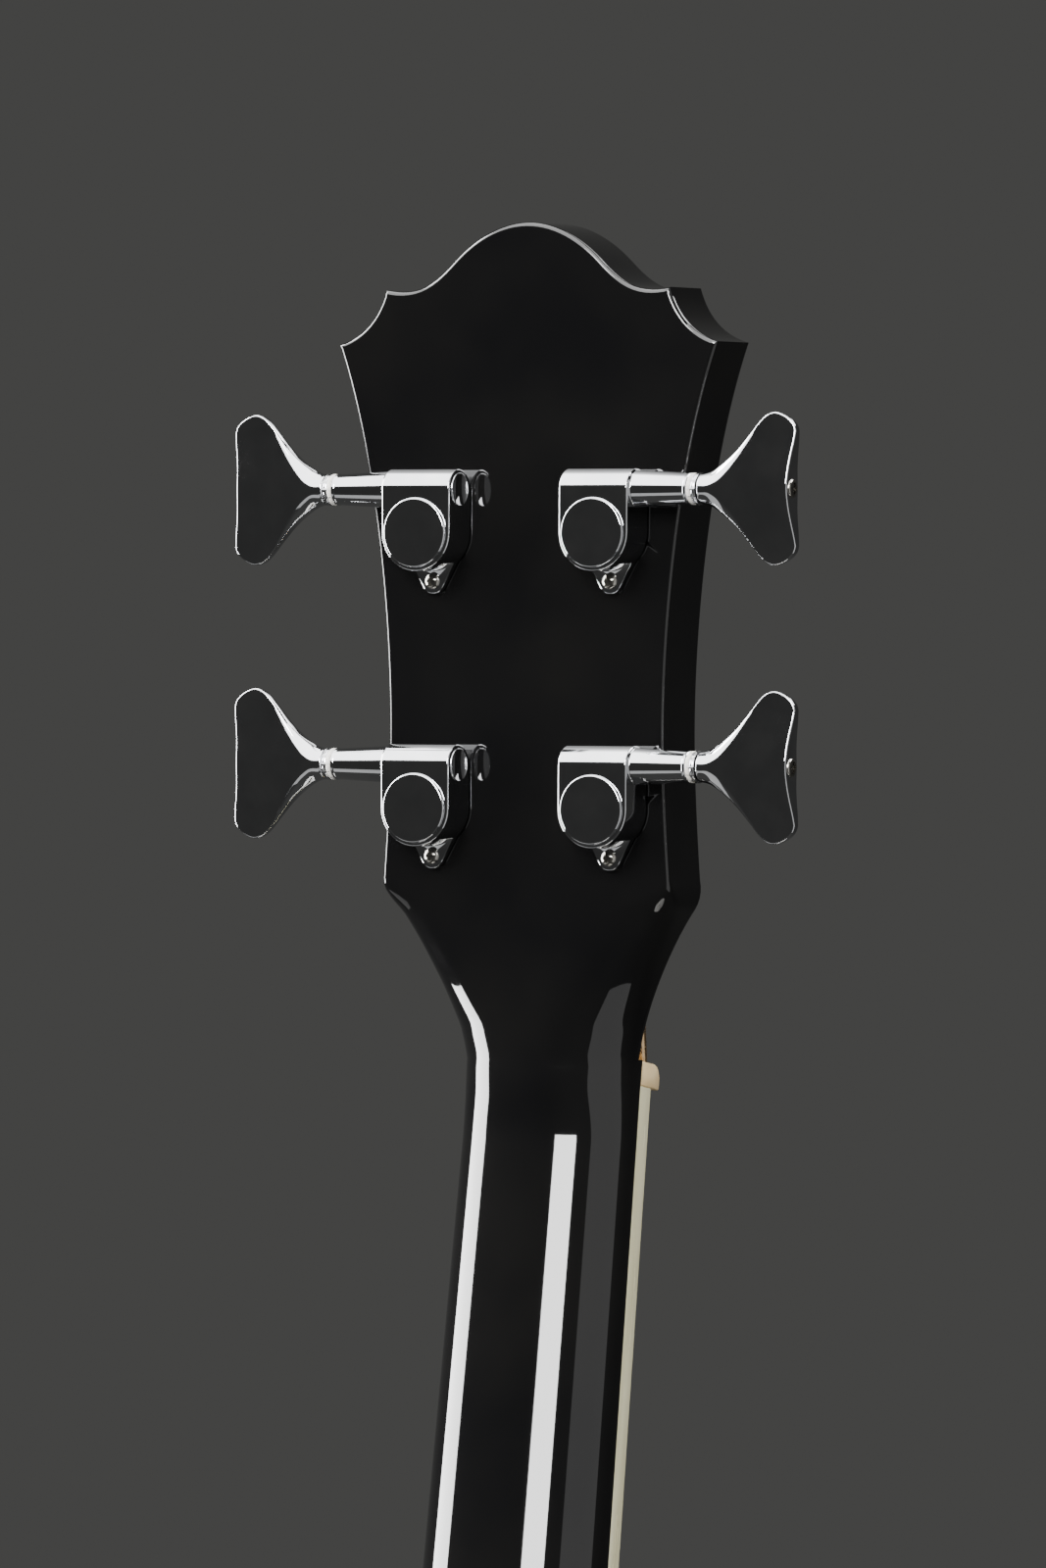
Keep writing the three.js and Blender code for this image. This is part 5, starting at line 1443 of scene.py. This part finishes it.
def soundboard():
    edge = inset(OUTLINE, BODY_BINDING + SNUG)
    board = prism("soundboard_top", edge, 0, TOP_THICKNESS, upright)
    r, lip = SOUNDHOLE_RADIUS, SOUNDHOLE_EDGE
    tool = [(0, -OVERRUN), (r + lip, -OVERRUN), (r + lip, -WELD)]
    tool += [(r + lip * (1 - sin_of(a)), lip * (1 - cos_of(a))) for a in (30, 60, 90)]
    tool += [(r, SOUNDHOLE_RUN), (0, SOUNDHOLE_RUN)]
    boolean(board, rod_y("hole", tool, plain, 0, SOUNDHOLE_Z, 128))
    inner, outer = ROSETTE_RINGS[0][0] - ROSETTE_GAP, ROSETTE_RINGS[-1][1] + ROSETTE_GAP
    ring = ring_profile(inner, outer, -ROSETTE_RUN, ROSETTE_DEPTH)
    boolean(board, rod_y("channel", ring, plain, 0, SOUNDHOLE_Z, 128))
    pin_slots(board)
    finish_piece(board, "lacquer", "soundboard", sharp=35)


def rosette():
    for k, (inner, outer, material) in enumerate(ROSETTE_RINGS):
        profile = ring_profile(inner, outer, 0, ROSETTE_DEPTH)
        ring = rod_y(f"rosette_ring_{k + 1}", profile, plain, 0, SOUNDHOLE_Z, 160)
        finish_piece(ring, material, *(() if k else ("rosette",)))


PIN_GAP = 0.15
PIN_SLOT_GAP = 0.25


def pin_slots(thing):
    for i, diameter in enumerate(STRING_DIAMETERS):
        half, x = diameter / 2 + PIN_SLOT_GAP, saddle_x(i)
        gap = PIN_HEAD_RADIUS + SEAT_GAP + diameter / 2
        boolean(thing, rod_y("pin_hole", rod(PIN_RADIUS + PIN_GAP, -DEEP_CUT, DEEP_CUT), plain, x, PIN_Z, 32))
        boolean(thing, box_mesh("slot", x - half, x + half, -DEEP_CUT, DEEP_CUT, PIN_Z, PIN_Z + gap + half))


BRIDGE_HALF = 75
BRIDGE_LENGTH = 40
WING_HEIGHT = 4
WING_SHARE = 0.62
WING_STEPS = 10
BRIDGE_ROUND = 1.6
SADDLE_HALF = 41
SADDLE_DEPTH = 6
SADDLE_GAP = 0.12
SADDLE_FOOT = 1.3
SADDLE_FALL = 1.5
SADDLE_STEPS = 24
SADDLE_ROUND = 0.8
STRING_GAP = 0.03


def bridge():
    """A bridge with low rounded wings, a raised middle, the saddle's slot and the pins' holes."""
    half, low, steps = BRIDGE_HALF, WING_HEIGHT, WING_STEPS
    top = [(-half, -low)]
    for k in range(steps + 1):
        t = k / steps
        top.append((-half + half * (1 - WING_SHARE) * t, -low - (BRIDGE_HEIGHT - low) * smooth_share(t)))
    top += [(-x, y) for x, y in reversed(top)]
    section = [(-half, 0)] + top[1:-1] + [(half, 0)]
    block = prism("bridge_body", section, BRIDGE_FRONT, BRIDGE_FRONT - BRIDGE_LENGTH, plain)
    bevelled(block, BRIDGE_ROUND, segments=5, angle=50)
    reach = SADDLE_HALF + SADDLE_GAP
    boolean(block, box_mesh("slot", -reach, reach, -DEEP_CUT, SADDLE_DEPTH - BRIDGE_HEIGHT,
                            SADDLE_BACK - SADDLE_GAP, SADDLE_FRONT + SADDLE_GAP))
    pin_slots(block)
    finish_piece(block, "bridge_wood", "bridge", sharp=35)


def saddle():
    half, floor = SADDLE_HALF, SADDLE_DEPTH - BRIDGE_HEIGHT - SADDLE_FOOT
    crown = [half - 2 * half * k / SADDLE_STEPS for k in range(SADDLE_STEPS + 1)]
    profile = [(-half, floor), (half, floor)]
    profile += [(x, -STRING_SADDLE_HEIGHT + SADDLE_FALL * (x / half) ** 2 + SNUG) for x in crown]
    bar = bevelled(prism("saddle_bone", profile, SADDLE_BACK, SADDLE_FRONT, plain), SADDLE_ROUND)
    for i, diameter in enumerate(STRING_DIAMETERS):
        r = diameter / 2
        groove = rod(r + STRING_GAP, -OVERRUN, OVERRUN)
        boolean(bar, rod_z("slot", groove, saddle_x(i), -STRING_SADDLE_HEIGHT - r, SADDLE_Z, 24))
    finish_piece(bar, "bone", "saddle", sharp=35)


# A pin from its head's rim down, in (radius, depth under the head's foot) pairs, and the dot in its head
PIN_SIDE = ((PIN_HEAD_RADIUS * 0.97, -0.9), (PIN_HEAD_RADIUS * 0.86, -0.5), (PIN_HEAD_RADIUS * 0.8, -0.25),
            (PIN_HEAD_RADIUS * 0.86, 0), (PIN_RADIUS, 0), (2.3, 22.5), (1.6, 23), (0, 23))
PIN_DOT = ((0, -0.05), (0.85, -0.02), (0.9, 0.1), (0.9, 0.8), (0, 0.8))
PIN_RIM = 1.1
PIN_DOME = 2.45
PIN_DOME_SHARE = 0.98
PIN_SEAT = 0.05


def bridge_pin(i):
    name, foot = STRINGS[i], -BRIDGE_HEIGHT - PIN_SEAT
    rim, radius = foot - PIN_RIM, PIN_HEAD_RADIUS * PIN_DOME_SHARE
    dome = [(radius * sin_of(a), rim - PIN_DOME * cos_of(a)) for a in (0, 15, 30, 45, 60, 75, 90)]
    pin = rod_y("pin_" + name, dome + lifted(PIN_SIDE, foot), plain, saddle_x(i), PIN_Z, 40, 50)
    finish_piece(pin, "plastic", "bridge_pin_" + name)
    dot = rod_y("pin_dot_" + name, lifted(PIN_DOT, rim - PIN_DOME), plain, saddle_x(i), PIN_Z, 32)
    finish_piece(dot, "pearl")


BUTTON_HEIGHT = 13 + SEAT_GAP
BUTTON_SIDE = ((0, -0.6), (5.4, -0.6), (6.4, 0), (6.4, 0.7), (5.6, 1.4), (4.5, 3), (4.2, 5.5), (4.4, 7.6),
               (5.3, 9.3), (6.5, 10.3), (7, 11.3), (6.9, 12.2), (6.3, 12.9), (5.2, BUTTON_HEIGHT),
               (0, BUTTON_HEIGHT))
BUTTON_SINK = ((0, -0.9), (2.9, -0.9), (3.3, 2), (0, 2))
SINK_SEAT = 0.85


def strap_button():
    """A turned button on the treble side of the heel, held by a cross screw."""
    y, z = HEEL_DEPTH / 2, BODY_TOP + HEEL_FOOT / 2
    wall = heel_half(y) + SNUG
    out = lambda a, h, b: (wall + h, y + a, z + b)
    button = spun("heel_button", BUTTON_SIDE, out, 64, 50)
    boolean(button, spun("sink", lifted(BUTTON_SINK, BUTTON_HEIGHT), out))
    finish_piece(button, "chrome", "heel_strap_button", sharp=40)
    top = BUTTON_HEIGHT - SINK_SEAT
    cross_screw("heel_button_screw", BUTTON_SCREW, lambda a, h, b: out(a, top + h, b))


JACK_HEIGHT = 16 + SEAT_GAP - SNUG
JACK_LIP = ((3.3, 0.4), (3.9, 0), (7.4, 0), (8, 0.6), (8, 2.8), (7.4, 3.7), (5.8, 5.4), (5.6, 7))
JACK_FLANGE = ((5.6, -6), (6, -4.6), (7.2, -3.4), (9.1, -2.2), (9.5, -1.5), (9.6, -0.6), (9.6, 0), (5.8, 0),
               (5.8, 38), (3.3, 38))


def endpin():
    """The jack in the tail: a flange, a grooved barrel and a lip, bored through."""
    profile = lifted(JACK_LIP, -JACK_HEIGHT) + list(JACK_FLANGE)
    jack = rod_z("endpin_barrel", profile, 0, JACK_DEPTH, BODY_TAIL - SNUG, 72)
    finish_piece(jack, "chrome", "endpin_jack")


THUMB_RADIUS = 9
THUMB_SHOW = 4
THUMB_DEPTH = 4
THUMB_SPREAD = 12
THUMB_RIBS = 40
THUMB_GROOVE = 0.45
THUMB_SIDE = ((-0.35, 0), (0, 0.35), (0, 2.65), (-0.35, 3))
THUMB_AXLE = ((0, -2), (1.7, -2), (2, -1.7), (2, 4.7), (1.7, 5), (0, 5))
THUMB_MARK = rod(0.8, -1, 0.5)
THUMB_MARK_X = 6.2


def thumbwheels():
    """Two ribbed wheels just inside the soundhole."""
    x, y0 = THUMB_SHOW - SOUNDHOLE_RADIUS - THUMB_RADIUS, TOP_THICKNESS + SEAT_GAP + THUMB_DEPTH
    for name, side in (("volume", 1), ("tone", -1)):
        z = SOUNDHOLE_Z + side * THUMB_SPREAD
        rings = []
        for grow, rise in THUMB_SIDE:
            ring = []
            for k in range(THUMB_RIBS * 4):
                r = THUMB_RADIUS + grow - (THUMB_GROOVE if k % 4 in (2, 3) else 0)
                angle = math.tau * k / (THUMB_RIBS * 4)
                ring.append((x + r * math.cos(angle), y0 + rise, z + r * math.sin(angle)))
            rings.append(ring)
        wheel = build_mesh(name + "_thumbwheel", *loft(rings), 30)
        boolean(wheel, rod_y("axle", lifted(THUMB_AXLE, y0), plain, x, z, 32), "UNION")
        boolean(wheel, rod_y("mark", lifted(THUMB_MARK, y0), plain, x + THUMB_MARK_X, z, 24))
        finish_piece(wheel, "plastic", name + "_wheel", body=name + "_control", sharp=30)


body_pieces()
back_plate()
soundboard()
rosette()
bridge()
saddle()
for pin_index in range(4):
    bridge_pin(pin_index)
strap_button()
endpin()
thumbwheels()

# Solids inside the body that are kept as they are, by material
INNER = {
    "mahogany": ("top_lining", "back_lining", "neck_block", "tail_block"),
    "spruce": ("cross_brace", "transverse_brace", "back_brace_upper", "back_brace_middle", "back_brace_lower",
               "bridge_plate"),
    "steel": ("pickup_strip", "truss_rod", "worm_shaft_e", "worm_shaft_a", "worm_shaft_d", "worm_shaft_g"),
    "plastic": ("preamp_case", "battery"),
}
for material_name, node_names in INNER.items():
    for solid in (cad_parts[node_name] for node_name in node_names):
        solid.data.materials.clear()
        solid.data.materials.append(MATERIALS[material_name])
        shade(solid, 30)


# Camera at the photograph's place
CAMERA_PLACE = (-1.468018, 2.65518, -0.313219)
CAMERA_RIGHT = (-0.87502294, -0.47754651, 0.07927284)
CAMERA_UP = (0.00860908, 0.14838174, 0.98889269)
CAMERA_LENS = 293.3
SENSOR_WIDTH = 36
CLIP = (0.05, 60)
camera_data = bpy.data.cameras.new("camera")
camera_data.lens = CAMERA_LENS
camera_data.sensor_width = SENSOR_WIDTH
camera_data.sensor_fit = "AUTO"
camera_data.clip_start, camera_data.clip_end = CLIP
camera = bpy.data.objects.new("camera", camera_data)
right, up = Vector(CAMERA_RIGHT).normalized(), Vector(CAMERA_UP).normalized()
back = right.cross(up)
camera.matrix_world = Matrix((
    (right.x, up.x, back.x, CAMERA_PLACE[0]), (right.y, up.y, back.y, CAMERA_PLACE[1]),
    (right.z, up.z, back.z, CAMERA_PLACE[2]), (0, 0, 0, 1)))
bpy.context.scene.collection.objects.link(camera)
bpy.context.scene.camera = camera


# Soft studio lights, each turned to the headstock: azimuth from +X towards +Y, elevation, distance in
# metres, width, height and power
LIGHTS = {
    "left_strip": (14, 9.2, 2.6, 1.15, 2.95, 259),
    "right_strip": (98.5, 16.2, 5, 2, 2.55, 478),
    "side_panel": (160, -8, 3, 3.6, 5.2, 35),
    "edge_light": (212, 52, 2.4, 1.2, 1.2, 62),
    "top_box": (61, 53, 2.6, 3.4, 4.1, 240),
    "front_fill": (-110, 58, 4, 2.2, 2.2, 40),
    "low_strip": (34, -42, 2, 2, 0.5, 1.7),
}
LIGHT_AIM = Vector((0, 0, 0.05))
for light_name, (azimuth, elevation, distance, width, height, power) in LIGHTS.items():
    data = bpy.data.lights.new(light_name, "AREA")
    data.shape = "RECTANGLE"
    data.size, data.size_y, data.energy = width, height, power
    light = bpy.data.objects.new(light_name, data)
    flat_share = cos_of(elevation)
    toward_light = Vector((cos_of(azimuth) * flat_share, sin_of(azimuth) * flat_share, sin_of(elevation)))
    light.location = LIGHT_AIM + toward_light * distance
    light.rotation_mode = "QUATERNION"
    light.rotation_quaternion = toward_light.to_track_quat("Z", "Y")
    bpy.context.scene.collection.objects.link(light)

# A plain grey room, darker where the flat chrome and the headstock's back mirror it, and the keys' ends
ROOM_GREY = (0.064, 0.064, 0.062, 1)
ROOM_DARK = (0.038, 0.038, 0.037, 1)
DARK_SHARES = (0.70, 0.93)
DARK_DIRECTIONS = ((0.48, 0.865, -0.148), (-0.485, -0.873, 0.05))
world = bpy.data.worlds.new("studio")
world.use_nodes = True
world_nodes, world_links = world.node_tree.nodes, world.node_tree.links
sky_place = world_nodes.new("ShaderNodeTexCoord")
nearest = world_nodes.new("ShaderNodeMath")
nearest.operation = "MAXIMUM"
for n, direction in enumerate(DARK_DIRECTIONS):
    toward = world_nodes.new("ShaderNodeVectorMath")
    toward.operation = "DOT_PRODUCT"
    toward.inputs[1].default_value = direction
    world_links.new(sky_place.outputs["Generated"], toward.inputs[0])
    world_links.new(toward.outputs["Value"], nearest.inputs[n])
fall = world_nodes.new("ShaderNodeValToRGB")
for stop, at, colour in zip(fall.color_ramp.elements, DARK_SHARES, (ROOM_GREY, ROOM_DARK)):
    stop.position, stop.color = at, colour
world_links.new(nearest.outputs["Value"], fall.inputs["Fac"])
world_links.new(fall.outputs["Color"], world_nodes["Background"].inputs["Color"])
world_nodes["Background"].inputs["Strength"].default_value = 1.0
bpy.context.scene.world = world

# Pale floor under the tail
FLOOR_Z = -1010
FLOOR_RADIUS = 340
FLOOR_THICKNESS = 20
floor = rod_z("floor", rod(FLOOR_RADIUS, FLOOR_Z - FLOOR_THICKNESS, FLOOR_Z), 0, 0, 0, 128)
PALE_FLOOR = ("pale_floor", ((0.55, 0.54, 0.52), (0.62, 0.61, 0.59)), 3, 0.6, 0.1, 0.0002, 60)
floor.data.materials.append(node_material(*PALE_FLOOR))
